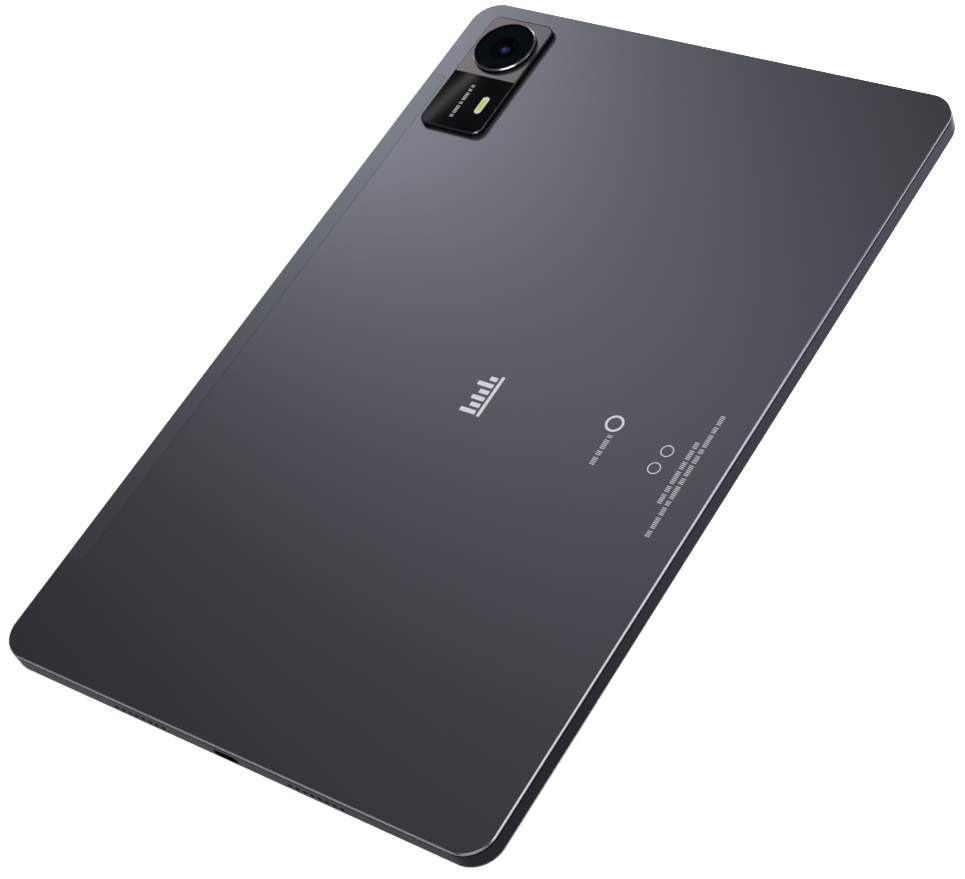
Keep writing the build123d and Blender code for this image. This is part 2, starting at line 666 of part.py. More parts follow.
VOLUME_FACE_X = -HALF_W - KEY_PROUD
VOLUME_FLANGE_X = -INNER_X + 0.35
VOLUME_NUB_Y = 7.5
with BuildPart() as volume_rocker:
    with BuildSketch(Plane.YZ.offset(VOLUME_FACE_X)):
        with Locations((VOLUME_Y, KEY_Z)):
            SlotOverall(VOLUME_LENGTH, KEY_HEIGHT)
    extrude(amount=VOLUME_FLANGE_X - VOLUME_FACE_X)
    fillet(faces().sort_by(Axis.X)[0].edges(), 0.25)
    with BuildSketch(Plane.YZ.offset(VOLUME_FLANGE_X)):
        with Locations((VOLUME_Y, KEY_Z)):
            Rectangle(VOLUME_LENGTH + 2, KEY_HEIGHT + 0.9)
    extrude(amount=KEY_FLANGE)
    with BuildSketch(Plane.YZ.offset(VOLUME_FLANGE_X + KEY_FLANGE)):
        with Locations((VOLUME_Y - VOLUME_NUB_Y, KEY_Z), (VOLUME_Y + VOLUME_NUB_Y, KEY_Z)):
            Circle(0.8)
    extrude(amount=0.2)
save(volume_rocker, "volume_rocker")

POWER_DOME_Y = POWER_FLANGE_Y - KEY_FLANGE - 0.3 - 0.36
with BuildPart() as power_key_switch:
    with BuildSketch(Plane.XZ.offset(-POWER_DOME_Y)):
        with Locations((POWER_X, KEY_Z)):
            Circle(1.1)
    extrude(amount=0.25)
    block(POWER_X - 2.2, POWER_X + 2.2, POWER_DOME_Y - 0.65, POWER_DOME_Y - 0.25, KEY_Z - 1.3, KEY_Z + 1.3)
    block(POWER_X - 5, POWER_X + 5, POWER_DOME_Y - 0.8, POWER_DOME_Y - 0.65, KEY_Z - 1.3, 5.9)
    block(POWER_X - 1.5, POWER_X + 1.5, BOARD_HIGH_Y - 4, POWER_DOME_Y - 0.65, BOARD_TOP, 5.9)
save(power_key_switch, "power_key_switch")

VOLUME_DOME_X = VOLUME_FLANGE_X + KEY_FLANGE + 0.2 + 0.25
with BuildPart() as volume_key_switches:
    for nub_side in (-1, 1):
        y = VOLUME_Y + nub_side * VOLUME_NUB_Y
        with BuildSketch(Plane.YZ.offset(VOLUME_DOME_X)):
            with Locations((y, KEY_Z)):
                Circle(1.1)
        extrude(amount=0.2)
        block(VOLUME_DOME_X + 0.2, VOLUME_DOME_X + 0.5, y - 2.2, y + 2.2, KEY_Z - 1.3, KEY_Z + 1.3)
    tape_x = VOLUME_DOME_X + 0.5
    block(tape_x, tape_x + 0.15, VOLUME_Y - 10.5, VOLUME_Y + 10.5, KEY_Z - 1.3, KEY_Z + 1.3)
    block(tape_x, tape_x + 0.15, 101, 105, KEY_Z + 1, 5.9)
    block(tape_x, -81, 101, 105, BOARD_TOP, 5.9)
save(volume_key_switches, "volume_key_switches")

# ================================================================ card tray and its ejector
TRAY_LOW = CARD_Z - TRAY_THICK / 2
with BuildPart() as card_tray:
    with BuildSketch(Plane.YZ.offset(-HALF_W)):
        with Locations((DOOR_Y, CARD_Z)):
            SlotOverall(DOOR_LENGTH, DOOR_HEIGHT)
    extrude(amount=DOOR_THICK)
    with BuildSketch(Plane.XY.offset(TRAY_LOW)):
        slab(-HALF_W + DOOR_THICK, TRAY_END_X, TRAY_Y - TRAY_WIDTH / 2, TRAY_Y + TRAY_WIDTH / 2)
    extrude(amount=TRAY_THICK)
    fillet(edges().filter_by(Axis.Z).group_by(Axis.X)[-1], 1.0)
    # pockets for a nano SIM and a memory card, each with a floor ledge
    with BuildSketch(Plane.XY.offset(TRAY_LOW + 0.2)):
        slab(-85.6, -76.7, TRAY_Y - 6.2, TRAY_Y + 6.2)
        slab(-75.5, -61.0, TRAY_Y - 5.55, TRAY_Y + 5.55)
    extrude(amount=1, mode=Mode.SUBTRACT)
    with BuildSketch(Plane.XY.offset(TRAY_LOW)):
        slab(-84.6, -77.7, TRAY_Y - 5.2, TRAY_Y + 5.2)
        slab(-74.5, -62.0, TRAY_Y - 4.55, TRAY_Y + 4.55)
    extrude(amount=1, mode=Mode.SUBTRACT)
    with BuildSketch(Plane.YZ.offset(-HALF_W)):
        with Locations((ROD_Y, CARD_Z)):
            Circle(0.45)
    extrude(amount=DOOR_THICK, mode=Mode.SUBTRACT)
save(card_tray, "card_tray")

SOCKET_LOW = 3.4
SOCKET_TOP = 4.9
SOCKET_SKIN = 0.15
with BuildPart() as card_socket:
    block(-86.6, -55.0, 71.5, 91.0, SOCKET_LOW, SOCKET_TOP)
    low = SOCKET_LOW + SOCKET_SKIN
    high = SOCKET_TOP - SOCKET_SKIN
    block(-88, TRAY_END_X + 0.2, 71.85, 86.15, low, high, mode=Mode.SUBTRACT)
    block(-88, -59, ROD_Y - 0.55, ROD_Y + 0.55, low, high, mode=Mode.SUBTRACT)
    block(TRAY_END_X, -55.3, 77.9, 90.2, low, high, mode=Mode.SUBTRACT)
    # stamped windows in the lid, over the cards
    block(-84, -78, TRAY_Y - 4, TRAY_Y + 4, SOCKET_TOP - 0.3, SOCKET_TOP + 0.3, mode=Mode.SUBTRACT)
    block(-73, -64, TRAY_Y - 4, TRAY_Y + 4, SOCKET_TOP - 0.3, SOCKET_TOP + 0.3, mode=Mode.SUBTRACT)
    with BuildSketch(Plane.XY.offset(SOCKET_LOW)):
        with Locations((LEVER_X, LEVER_Y)):
            Circle(0.4)
    extrude(amount=SOCKET_TOP - SOCKET_LOW)
save(card_socket, "card_socket")

with BuildPart() as ejector_rod:
    half = ROD_SIDE / 2
    block(-87.2, -57.95, ROD_Y - half, ROD_Y + half, CARD_Z - half, CARD_Z + half)
save(ejector_rod, "ejector_rod")

with BuildPart() as ejector_lever:
    with BuildSketch(Plane.XY.offset(CARD_Z - 0.2)):
        slab(LEVER_X - 0.4, LEVER_X + 0.4, 78.8, 89.4)
        with Locations((LEVER_X, LEVER_Y)):
            Circle(1.1)
            Circle(0.43, mode=Mode.SUBTRACT)
    extrude(amount=0.4)
save(ejector_lever, "ejector_lever")

# ================================================================ antennas and fasteners
with BuildPart() as antenna_strips:
    for y0, y1 in ((-98, -52), (-34, 14), (24, 66)):
        block(-86.4, -82.7, y0, y1, COVER_UNDER - 0.14, COVER_UNDER - 0.02)
        block(-86.4, -85.2, y1 - 3, y1, 5.95, COVER_UNDER - 0.14)
save(antenna_strips, "antenna_strips")

with BuildPart() as board_screws:
    with BuildSketch(Plane.XY.offset(BOARD_TOP)):
        with Locations(*SCREW_SPOTS):
            Circle(1.4)
    extrude(amount=0.4)
    with BuildSketch(Plane.XY.offset(3.5)):
        with Locations(*SCREW_SPOTS):
            Circle(SCREW_R - 0.02)
    extrude(amount=BOARD_TOP - 3.5)
    with BuildSketch(Plane.XY.offset(BOARD_TOP + 0.2)):
        with Locations(*SCREW_SPOTS):
            Rectangle(1.4, 0.35)
            Rectangle(0.35, 1.4)
    extrude(amount=1, mode=Mode.SUBTRACT)
save(board_screws, "board_screws")
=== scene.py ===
"""Tablet computer, about 12 inch, lying on its screen: its looks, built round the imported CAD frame.

Sizes are millimetres until they reach Blender. The row frame has its origin in the middle of the screen
glass, +Z out of the back and +Y towards the end that carries the rear camera.
"""

import math

import bmesh
import bpy
from mathutils import Matrix, Vector


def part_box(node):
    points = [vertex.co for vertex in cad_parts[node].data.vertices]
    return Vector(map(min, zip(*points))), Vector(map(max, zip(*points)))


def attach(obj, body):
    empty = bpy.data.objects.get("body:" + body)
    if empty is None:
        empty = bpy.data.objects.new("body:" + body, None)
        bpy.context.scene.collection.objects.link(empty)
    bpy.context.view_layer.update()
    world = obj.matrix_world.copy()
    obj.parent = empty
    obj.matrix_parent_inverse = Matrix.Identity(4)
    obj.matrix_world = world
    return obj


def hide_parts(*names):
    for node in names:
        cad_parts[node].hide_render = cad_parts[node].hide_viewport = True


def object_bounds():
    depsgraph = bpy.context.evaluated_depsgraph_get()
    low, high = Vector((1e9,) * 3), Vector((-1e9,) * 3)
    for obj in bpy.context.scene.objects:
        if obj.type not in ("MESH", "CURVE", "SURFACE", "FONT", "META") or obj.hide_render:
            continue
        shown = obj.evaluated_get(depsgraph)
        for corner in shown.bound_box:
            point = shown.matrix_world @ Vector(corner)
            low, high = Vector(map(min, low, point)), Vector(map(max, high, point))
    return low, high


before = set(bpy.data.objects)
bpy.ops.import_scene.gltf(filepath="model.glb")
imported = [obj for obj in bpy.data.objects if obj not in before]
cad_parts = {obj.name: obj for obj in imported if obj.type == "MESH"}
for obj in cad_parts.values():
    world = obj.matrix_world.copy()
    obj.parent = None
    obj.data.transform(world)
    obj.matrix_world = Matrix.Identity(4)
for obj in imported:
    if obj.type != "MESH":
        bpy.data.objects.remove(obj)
cad_low, cad_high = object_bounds()

MM = 0.001
# Distance at which points merge, share of a half round a bevel can take, how far cutters overshoot,
# and how close a level has to be to count as met.
SAME_POINT = 0.0005
ALL_BUT = 0.999
FAR = 5
SURE = 0.01


def box_mm(node):
    """Lowest and highest corner of a CAD node, in millimetres."""
    low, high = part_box(node)
    return low / MM, high / MM


# ---------------------------------------------------------------- sizes, most of them from the frame
cover_high = box_mm("rear_cover")[1]
band_low, band_high = box_mm("side_frame")
bezel_low, bezel_high = box_mm("front_bezel")
trim_low, trim_high = box_mm("camera_trim")
deco_low, deco_high = box_mm("camera_deco_plate")
panel_low, panel_high = box_mm("camera_glass_panel")
ring_low, ring_high = box_mm("lens_ring")
lens_low, lens_high = box_mm("lens_cover_glass")
baffle_low, baffle_high = box_mm("lens_baffle")
barrel_low, barrel_high = box_mm("camera_barrel")
element_low, element_high = box_mm("camera_front_element")
flash_low, flash_high = box_mm("flash_lens")
window_high = box_mm("antenna_window")[1]
glass_low, glass_high = box_mm("cover_glass")
cell_high = box_mm("lcd_cell")[1]
power_low, power_high = box_mm("power_button")
volume_low, volume_high = box_mm("volume_rocker")
tray_low, tray_high = box_mm("card_tray")
usb_low, usb_high = box_mm("usb_shell")
front_camera_low, front_camera_high = box_mm("front_camera")
mic_low, mic_high = box_mm("microphone_boot")

HALF_W = cover_high.x
HALF_L = cover_high.y
BACK = cover_high.z
CORNER = 9.3
CORNER_STEPS = 28
EDGE_CUT = 0.36
PLATE = 0.8
GROOVE = 0.45
WALL = 1.6
SEAM = 0.06
WINDOW_WIDTH = window_high.x + HALF_W + SEAM / 2
WINDOW_HALF = window_high.y + SEAM / 2
WINDOW_CORNER = 2.0

LENS_X = (ring_low.x + ring_high.x) / 2
LENS_Y = (ring_low.y + ring_high.y) / 2
LENS_RING_R = (ring_high.x - ring_low.x) / 2
LENS_GLASS_R = (lens_high.x - lens_low.x) / 2
ISLAND_RIM = 0.45
ISLAND_EDGE = 0.25
PANEL_GAP = 0.03
ISLAND_W = deco_high.x - deco_low.x + 2 * (ISLAND_RIM + PANEL_GAP)
ISLAND_X = (deco_low.x + deco_high.x) / 2
ISLAND_TOP_Y = deco_high.y + ISLAND_RIM + PANEL_GAP
ISLAND_LOW_Y = panel_low.y - ISLAND_RIM - PANEL_GAP
ISLAND_L = ISLAND_TOP_Y - ISLAND_LOW_Y
ISLAND_Y = (ISLAND_TOP_Y + ISLAND_LOW_Y) / 2
ISLAND_R = 3.5
ISLAND_STEPS = 16
LENS_WELL_R = 9.2
PANEL_SPLIT_Y = (deco_low.y + panel_high.y) / 2

# The photograph shows the holes 1.56 mm wide; the CAD has them at 1.3 mm.
HOLE_R = 0.78
HOLE_PITCH = 2.62
HOLES = 8
HOLE_X = 32.75
HOLE_Z = 3.1
KEY_Z = (power_low.z + power_high.z) / 2
KEY_HEIGHT = 2.0
KEY_PLAY = 0.06
KEY_STEPS = 12


# ---------------------------------------------------------------- modelling helpers
def rest():
    """Object mode with nothing selected."""
    if bpy.context.mode != "OBJECT":
        bpy.ops.object.mode_set(mode="OBJECT")
    bpy.ops.object.select_all(action="DESELECT")


def take(piece):
    """Only this piece selected and active, in object mode."""
    rest()
    piece.select_set(True)
    bpy.context.view_layer.objects.active = piece


def edit(piece, kind="FACE"):
    """This piece open in edit mode with nothing marked."""
    take(piece)
    bpy.ops.object.mode_set(mode="EDIT")
    bpy.ops.mesh.select_mode(type=kind)
    bpy.ops.mesh.select_all(action="DESELECT")


def mark_faces(piece, test):
    """Marks the faces whose middle, in mm, and normal pass the test."""
    mesh = bmesh.from_edit_mesh(piece.data)
    place = piece.matrix_world
    for face in mesh.faces:
        face.select_set(test(place @ face.calc_center_median() / MM, face.normal))
    mesh.select_flush_mode()
    bmesh.update_edit_mesh(piece.data)


def mark_edges(piece, test):
    """Marks the edges whose middle, in mm, and direction pass the test."""
    mesh = bmesh.from_edit_mesh(piece.data)
    place = piece.matrix_world
    for edge in mesh.edges:
        a, b = (place @ v.co / MM for v in edge.verts)
        edge.select_set(test((a + b) / 2, (b - a).normalized()))
    mesh.select_flush_mode()
    bmesh.update_edit_mesh(piece.data)


def inset(thickness, rise=0.0):
    """Insets the marked faces, and lifts the inner ones along their normal."""
    bpy.ops.mesh.inset(thickness=thickness * MM, depth=rise * MM)


def push(x=0.0, y=0.0, z=0.0):
    """Extrudes what is marked."""
    bpy.ops.mesh.extrude_region_move(TRANSFORM_OT_translate={"value": (x * MM, y * MM, z * MM)})


def outward():
    """Merges doubles and turns every face of the open piece outwards."""
    bpy.ops.mesh.select_all(action="SELECT")
    bpy.ops.mesh.remove_doubles(threshold=SAME_POINT * MM)
    bpy.ops.mesh.normals_make_consistent(inside=False)


def plate(name, middle, size, corner, level, thick, steps=CORNER_STEPS):
    """A flat plate with rounded corners: middle and size in plan, its underside at level."""
    rest()
    spot = Vector((middle[0], middle[1], level)) * MM
    bpy.ops.mesh.primitive_plane_add(size=MM, location=spot)
    piece = bpy.context.object
    piece.name = name
    edit(piece, "VERT")
    bpy.ops.mesh.select_all(action="SELECT")
    bpy.ops.transform.resize(value=(size[0], size[1], 1), center_override=spot)
    if corner:
        bpy.ops.mesh.bevel(offset=corner * MM, segments=steps, affect="VERTICES")
    bpy.ops.mesh.select_mode(type="FACE")
    bpy.ops.mesh.select_all(action="SELECT")
    push(z=thick)
    outward()
    rest()
    return piece


def block(name, low, high):
    """A plain box between two corners, the start of a piece or a cutter."""
    low, high = Vector(low), Vector(high)
    rest()
    bpy.ops.mesh.primitive_cube_add(size=MM, location=(low + high) / 2 * MM)
    piece = bpy.context.object
    piece.name = name
    edit(piece)
    bpy.ops.mesh.select_all(action="SELECT")
    bpy.ops.transform.resize(value=high - low, center_override=(low + high) / 2 * MM)
    rest()
    return piece


def pill(name, low, high, facing, steps=10):
    """A box between two corners whose ends, seen along facing, are all but half round."""
    piece = block(name, low, high)
    across = [abs(high[i] - low[i]) for i in range(3) if i != facing]
    edit(piece, "EDGE")
    mark_edges(piece, lambda at, way: abs(way[facing]) > 0.9)
    bpy.ops.mesh.bevel(offset=min(across) / 2 * ALL_BUT * MM, segments=steps)
    outward()
    rest()
    return piece


def drum(name, middle, radius, low, high, steps=96, facing="Z"):
    """A plain cylinder along one axis between two levels of that axis."""
    turns = {"Z": (0, 0, 0), "Y": (math.pi / 2, 0, 0), "X": (0, math.pi / 2, 0)}
    centre = Vector(middle)
    centre["XYZ".index(facing)] = (low + high) / 2
    rest()
    bpy.ops.mesh.primitive_cylinder_add(
        vertices=steps,
        radius=radius * MM,
        depth=(high - low) * MM,
        location=centre * MM,
        rotation=turns[facing],
    )
    piece = bpy.context.object
    piece.name = name
    return piece


def turned(name, middle, profile, steps=96):
    """A closed profile of (radius, height) points drawn point by point and spun round a vertical axis."""
    x, y = middle
    rest()
    bpy.ops.mesh.primitive_plane_add(size=MM, location=Vector((x + profile[0][0], y, profile[0][1])) * MM)
    piece = bpy.context.object
    piece.name = name
    edit(piece, "VERT")
    bpy.ops.mesh.select_all(action="SELECT")
    bpy.ops.mesh.merge(type="CENTER")
    for (r0, z0), (r1, z1) in zip(profile, profile[1:] + profile[:1]):
        step = (Vector((r1 - r0, 0, z1 - z0))) * MM
        bpy.ops.mesh.extrude_vertices_move(TRANSFORM_OT_translate={"value": step})
    bpy.ops.mesh.select_all(action="SELECT")
    bpy.ops.mesh.remove_doubles(threshold=SAME_POINT * MM)
    bpy.ops.mesh.select_all(action="SELECT")
    bpy.ops.mesh.spin(steps=steps, angle=2 * math.pi, center=Vector((x, y, 0)) * MM, axis=(0, 0, 1))
    outward()
    rest()
    return piece


def modify(piece, kind, **settings):
    """Adds one modifier to a piece and applies it."""
    step = piece.modifiers.new(kind.lower(), kind)
    for name, value in settings.items():
        setattr(step, name, value)
    take(piece)
    bpy.ops.object.modifier_apply(modifier=step.name)
    rest()
    return piece


def cut(piece, *cutters):
    """Cuts the cutters out of a piece, and throws them away."""
    for cutter in cutters:
        modify(piece, "BOOLEAN", operation="DIFFERENCE", solver="EXACT", object=cutter)
        bpy.data.objects.remove(cutter)
    return piece


def copy_of(piece, name):
    """A copy with a mesh of its own."""
    twin = piece.copy()
    twin.data = piece.data.copy()
    twin.name = name
    bpy.context.scene.collection.objects.link(twin)
    return twin


def join(piece, *others):
    """Makes several shells one piece."""
    take(piece)
    for other in others:
        other.select_set(True)
    bpy.ops.object.join()
    rest()
    return piece


def soften(piece, width, steps=2, angle=30):
    """Rounds every edge sharper than the angle, and keeps the flat faces flat in shading."""
    take(piece)
    bpy.ops.object.shade_smooth()
    modify(
        piece, "BEVEL", width=width * MM, segments=steps, limit_method="ANGLE",
        angle_limit=math.radians(angle), harden_normals=True,
    )
    return piece


def smooth(piece, angle=35):
    """Smooth shading across every edge flatter than the angle, with large flat faces kept flat."""
    take(piece)
    bpy.ops.object.shade_smooth_by_angle(angle=math.radians(angle))
    modify(piece, "WEIGHTED_NORMAL", mode="FACE_AREA", weight=50, keep_sharp=True)
    return piece


def round_edges(piece, width, steps, test):
    """Rounds the edges that pass the test, by place and direction."""
    edit(piece, "EDGE")
    mark_edges(piece, test)
    bpy.ops.mesh.bevel(offset=width * MM, segments=steps)
    rest()
    return piece


def settle(piece, body, slot, materials, *nodes):
    """Puts a finished piece's place in its mesh, gives it its finish, and hangs it on its body."""
    take(piece)
    bpy.ops.object.transform_apply(location=True, rotation=True, scale=True)
    rest()
    piece.data.name = piece.name
    piece.data.materials.clear()
    for material in materials:
        piece.data.materials.append(material)
    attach(piece, body)
    if nodes:
        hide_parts(*nodes)
    return piece


def paint(piece, index, test):
    """Gives the faces that pass the test, by middle in mm and normal, another of the piece's materials."""
    for face in piece.data.polygons:
        if test(face.center / MM, face.normal):
            face.material_index = index


# ---------------------------------------------------------------- material helpers
def linear(code):
    """An sRGB hex colour as linear red, green, blue and alpha."""
    parts = [int(code[i:i + 2], 16) / 255 for i in (1, 3, 5)]
    return [c / 12.92 if c <= 0.04045 else ((c + 0.055) / 1.055) ** 2.4 for c in parts] + [1.0]


def add(tree, kind, inputs=None, **settings):
    """Adds a node, sets its settings, and sets or links its inputs."""
    made = tree.nodes.new(kind)
    for name, value in settings.items():
        setattr(made, name, value)
    for name, value in (inputs or {}).items():
        if isinstance(value, bpy.types.NodeSocket):
            tree.links.new(value, made.inputs[name])
        else:
            made.inputs[name].default_value = value
    return made


def new_material(name, **sockets):
    """A material with its shader's constants set, its node tree, its shader and object coordinates."""
    material = bpy.data.materials.new(name)
    material.use_nodes = True
    tree = material.node_tree
    shader = tree.nodes["Principled BSDF"]
    for socket, value in sockets.items():
        shader.inputs[socket.replace("_", " ")].default_value = value
    place = add(tree, "ShaderNodeTexCoord").outputs["Object"]
    return material, tree, shader, place


def stretched(tree, place, scale):
    """Coordinates squeezed by different amounts, for patterns longer one way than another."""
    return add(tree, "ShaderNodeMapping", {"Vector": place, "Scale": scale}).outputs["Vector"]


def speckle(tree, place, grain, detail=3.0):
    """Even noise whose grains are about this many millimetres across, from 0 to 1."""
    noise = add(tree, "ShaderNodeTexNoise", {"Vector": place, "Scale": 1 / (grain * MM), "Detail": detail})
    return noise.outputs["Fac"]


def lines(tree, place, pitch, way):
    """Even soft lines about this many millimetres apart, across one axis."""
    scale = 1 / (pitch * MM) / 6.28
    made = add(tree, "ShaderNodeTexWave", {"Vector": place, "Scale": scale}, bands_direction=way)
    return made.outputs["Fac"]


def blended(tree, factor, low, high):
    """A colour between two hex colours."""
    mix = add(tree, "ShaderNodeMix", {"Factor": factor}, data_type="RGBA")
    mix.inputs["A"].default_value = linear(low)
    mix.inputs["B"].default_value = linear(high)
    return mix.outputs["Result"]


def between(tree, factor, low, high):
    """A number between two values."""
    spread = {"Value": factor, "To Min": low, "To Max": high}
    return add(tree, "ShaderNodeMapRange", spread).outputs["Result"]


def dented(tree, shader, height, depth, strength=1.0):
    """Bumps the surface by a height from 0 to 1, depth millimetres deep."""
    bump = add(tree, "ShaderNodeBump", {"Height": height, "Distance": depth * MM, "Strength": strength})
    tree.links.new(bump.outputs["Normal"], shader.inputs["Normal"])


def grained(name, low, high, smoothest, roughest, grain, depth, scale=(1, 1, 1), **sockets):
    """The common build: colour, roughness and relief from one noise of a real grain size."""
    material, tree, shader, place = new_material(name, **sockets)
    grains = speckle(tree, stretched(tree, place, scale), grain)
    tree.links.new(blended(tree, grains, low, high), shader.inputs["Base Color"])
    tree.links.new(between(tree, grains, smoothest, roughest), shader.inputs["Roughness"])
    dented(tree, shader, grains, depth, 0.5)
    return material


# ---------------------------------------------------------------- materials
# Aluminium, bead-blasted with fine glass beads and anodised dark grey: an even satin that spreads
# a highlight widely. The beads leave 0.1 mm dimples, drawn 0.25 mm so that they show close up.
blasted_aluminium = grained(
    "blasted_anodised_aluminium", "#5c5e67", "#64666f", 0.36, 0.4, 0.25, 0.003, Metallic=1.0
)

# The same aluminium on the side band: blasted finer, so a little glossier than the back; its far darker
# colour and dimmed edge tint are painted shade.
# Painted shade: the side band's colour and edge tint are kept far darker than the back's, which is the
# same metal.
band_aluminium_painted_shade = grained(
    "satin_aluminium_painted_shade", "#212227", "#28292e", 0.3, 0.36, 0.2, 0.002,
    Metallic=1.0, Specular_Tint=(0.54, 0.54, 0.56, 1.0)
)

# Aluminium cut bright with a diamond tool after anodising: clear metal with a fine lay along the edge.
cut_aluminium = grained(
    "diamond_cut_aluminium", "#b4b6bd", "#c4c6cc", 0.18, 0.26, 0.12, 0.001, Metallic=1.0
)

# Anodised aluminium in a cut groove, painted nearly black as painted shade because hardly any light
# reaches it there.
groove_painted_shade = grained(
    "aluminium_painted_groove_shade", "#0c0c0e", "#141417", 0.35, 0.5, 0.2, 0.002, Metallic=0.6
)

# Aluminium brushed across the camera island and anodised a warm grey: fine lines in one direction.
brushed_aluminium = grained(
    "brushed_anodised_aluminium", "#545154", "#5e5a5c", 0.32, 0.42, 0.3, 0.002,
    scale=(1, 0.04, 1), Metallic=1.0
)

# Black anodised aluminium, turned or milled and polished at its edges, as on camera surrounds.
black_aluminium = grained(
    "gloss_black_aluminium", "#0a0a0b", "#121214", 0.16, 0.24, 0.3, 0.001, Metallic=0.7, Coat_Weight=0.5
)

# Black anodised aluminium whose edge is cut again with a diamond tool: a thin grey gleam.
cut_black_edge = grained(
    "diamond_cut_dark_edge", "#6c6e74", "#7a7c82", 0.18, 0.26, 0.12, 0.001, Metallic=1.0
)

# Stainless steel polished with fine compound: a bright mirror edge with the least haze.
polished_steel = grained(
    "polished_stainless_steel", "#b0b3b8", "#c0c3c8", 0.2, 0.27, 0.4, 0.0005, Metallic=1.0
)

# Polycarbonate painted with metallic lacquer to match the metal: flakes under a satin top coat,
# duller and a touch greener than anodised metal.
flake_paint = grained(
    "metallic_painted_polycarbonate", "#595d65", "#61656d", 0.37, 0.41, 0.15, 0.001, Metallic=0.9
)

# Black polycarbonate from a spark-eroded mould: an even fine texture, drawn 0.12 mm.
moulded_black = grained(
    "moulded_black_polycarbonate", "#09090a", "#121214", 0.4, 0.52, 0.12, 0.004, Specular_IOR_Level=0.25
)

# Black polycarbonate from a polished mould: deep gloss, as on the shelf under a lens cover.
gloss_black = grained(
    "polished_black_polycarbonate", "#020203", "#040405", 0.12, 0.2, 2.0, 0.0005, Specular_IOR_Level=0.06
)

# The coated ring under a lens cover: black, with the blue-green reflection of its anti-reflection layers
# painted into its colour.
teal_painted_reflection_black = grained(
    "black_with_painted_teal_reflection", "#0e2126", "#132a30", 0.12, 0.2, 5.0, 0.0005, Specular_IOR_Level=0.08
)

# Black print under glass: flat screen ink, dead even, seen only through the glass.
screen_ink = grained("black_screen_ink", "#030304", "#060607", 0.5, 0.6, 0.6, 0.0005)

# Pale grey pad-printing ink, slightly granular where it lies on the blasted surface.
print_ink = grained("grey_pad_printing_ink", "#eceef4", "#f6f7fb", 0.45, 0.6, 0.3, 0.002)

# Stamped stainless or nickel silver: bright rolled sheet with faint rolling lines.
stamped_steel = grained(
    "stamped_nickel_silver", "#9c9d9f", "#b0b1b3", 0.24, 0.36, 0.6, 0.001, scale=(1, 0.08, 1), Metallic=1.0
)

# Rolled aluminium sheet, unfinished: soft grey with long faint rolling lines.
rolled_aluminium = grained(
    "rolled_aluminium_sheet", "#a4a6a9", "#b6b8bb", 0.3, 0.42, 1.5, 0.002, scale=(1, 0.05, 1), Metallic=1.0
)

# The port's steel shell, drawn dark as painted shade of its deep slot: dark bright metal.
port_steel_painted_shade = grained("port_steel_painted_dark_shade", "#1b1b1e", "#252529", 0.25, 0.38, 0.4, 0.001, Metallic=1.0)

# Gold plate on the port's contacts.
gold_plate = grained("hard_gold_plate", "#c79a45", "#d9b05c", 0.2, 0.3, 0.3, 0.0005, Metallic=1.0)

# Copper foil on clear film, as antennas are made.
copper_foil = grained("copper_foil", "#b06a42", "#c47d52", 0.25, 0.38, 0.8, 0.002, Metallic=1.0)

# Aluminium-laminate battery pouch with a dark coat, faintly dimpled over the foil stack.
pouch_foil = grained("coated_pouch_foil", "#26272a", "#33353a", 0.3, 0.42, 2.5, 0.02, Metallic=0.4)

# Moulded epoxy of chip packages.
chip_epoxy = grained("moulded_epoxy", "#151517", "#202023", 0.45, 0.6, 0.2, 0.004)

# Silicone and rubber parts: deep black, soft sheen.
black_rubber = grained("moulded_silicone_rubber", "#0d0d0e", "#17171a", 0.5, 0.65, 0.4, 0.004)

# White moulded polycarbonate that frames the backlight.
white_plastic = grained("white_moulded_polycarbonate", "#dcdcd8", "#e8e8e4", 0.35, 0.45, 0.5, 0.002)

# Diffuser and prism films: pearly, faintly banded.
pearl_film = grained("prism_film", "#cfd3d6", "#e3e6e8", 0.25, 0.4, 0.4, 0.002, scale=(1, 0.05, 1))

# Stretch-release adhesive: soft white rubbery tape.
white_tape = grained("stretch_adhesive_tape", "#d9d8d2", "#e6e5df", 0.55, 0.7, 0.8, 0.01)

# Phosphor-coated light-emitting diodes: strong lemon yellow, matt.
phosphor = grained("phosphor_coated_led", "#e0d63c", "#f2ea6a", 0.4, 0.55, 0.3, 0.01)

# Moulded acrylic light guide: clear with fine dots.
clear_acrylic = grained(
    "clear_acrylic", "#d8dee0", "#e8ecee", 0.05, 0.12, 0.6, 0.002, Transmission_Weight=0.6, IOR=1.49
)


def make_cover_glass():
    """Chemically strengthened aluminosilicate glass: clear, with the faintest smears of handling."""
    material, tree, shader, place = new_material("strengthened_glass", IOR=1.51, Transmission_Weight=1.0)
    smears = speckle(tree, place, 18.0, 2.0)
    tree.links.new(blended(tree, smears, "#f2f6f5", "#fbfdfc"), shader.inputs["Base Color"])
    tree.links.new(between(tree, smears, 0.01, 0.04), shader.inputs["Roughness"])
    return material


def make_black_glass():
    """Black-backed float glass over the flash: a deep mirror with very faint polishing haze."""
    material, tree, shader, place = new_material("black_backed_glass", IOR=1.52, Specular_IOR_Level=0.32)
    haze = speckle(tree, place, 6.0, 2.0)
    tree.links.new(blended(tree, haze, "#040507", "#080a0c"), shader.inputs["Base Color"])
    tree.links.new(between(tree, haze, 0.025, 0.05), shader.inputs["Roughness"])
    return material


def make_lens_cover():
    """Coated lens cover: clear with a cool tint, its index lowered because the coat kills reflection."""
    material, tree, shader, place = new_material("coated_lens_glass", IOR=1.15, Transmission_Weight=1.0)
    haze = speckle(tree, place, 8.0, 2.0)
    tree.links.new(blended(tree, haze, "#a9babe", "#b9c9cc"), shader.inputs["Base Color"])
    tree.links.new(between(tree, haze, 0.0, 0.02), shader.inputs["Roughness"])
    return material


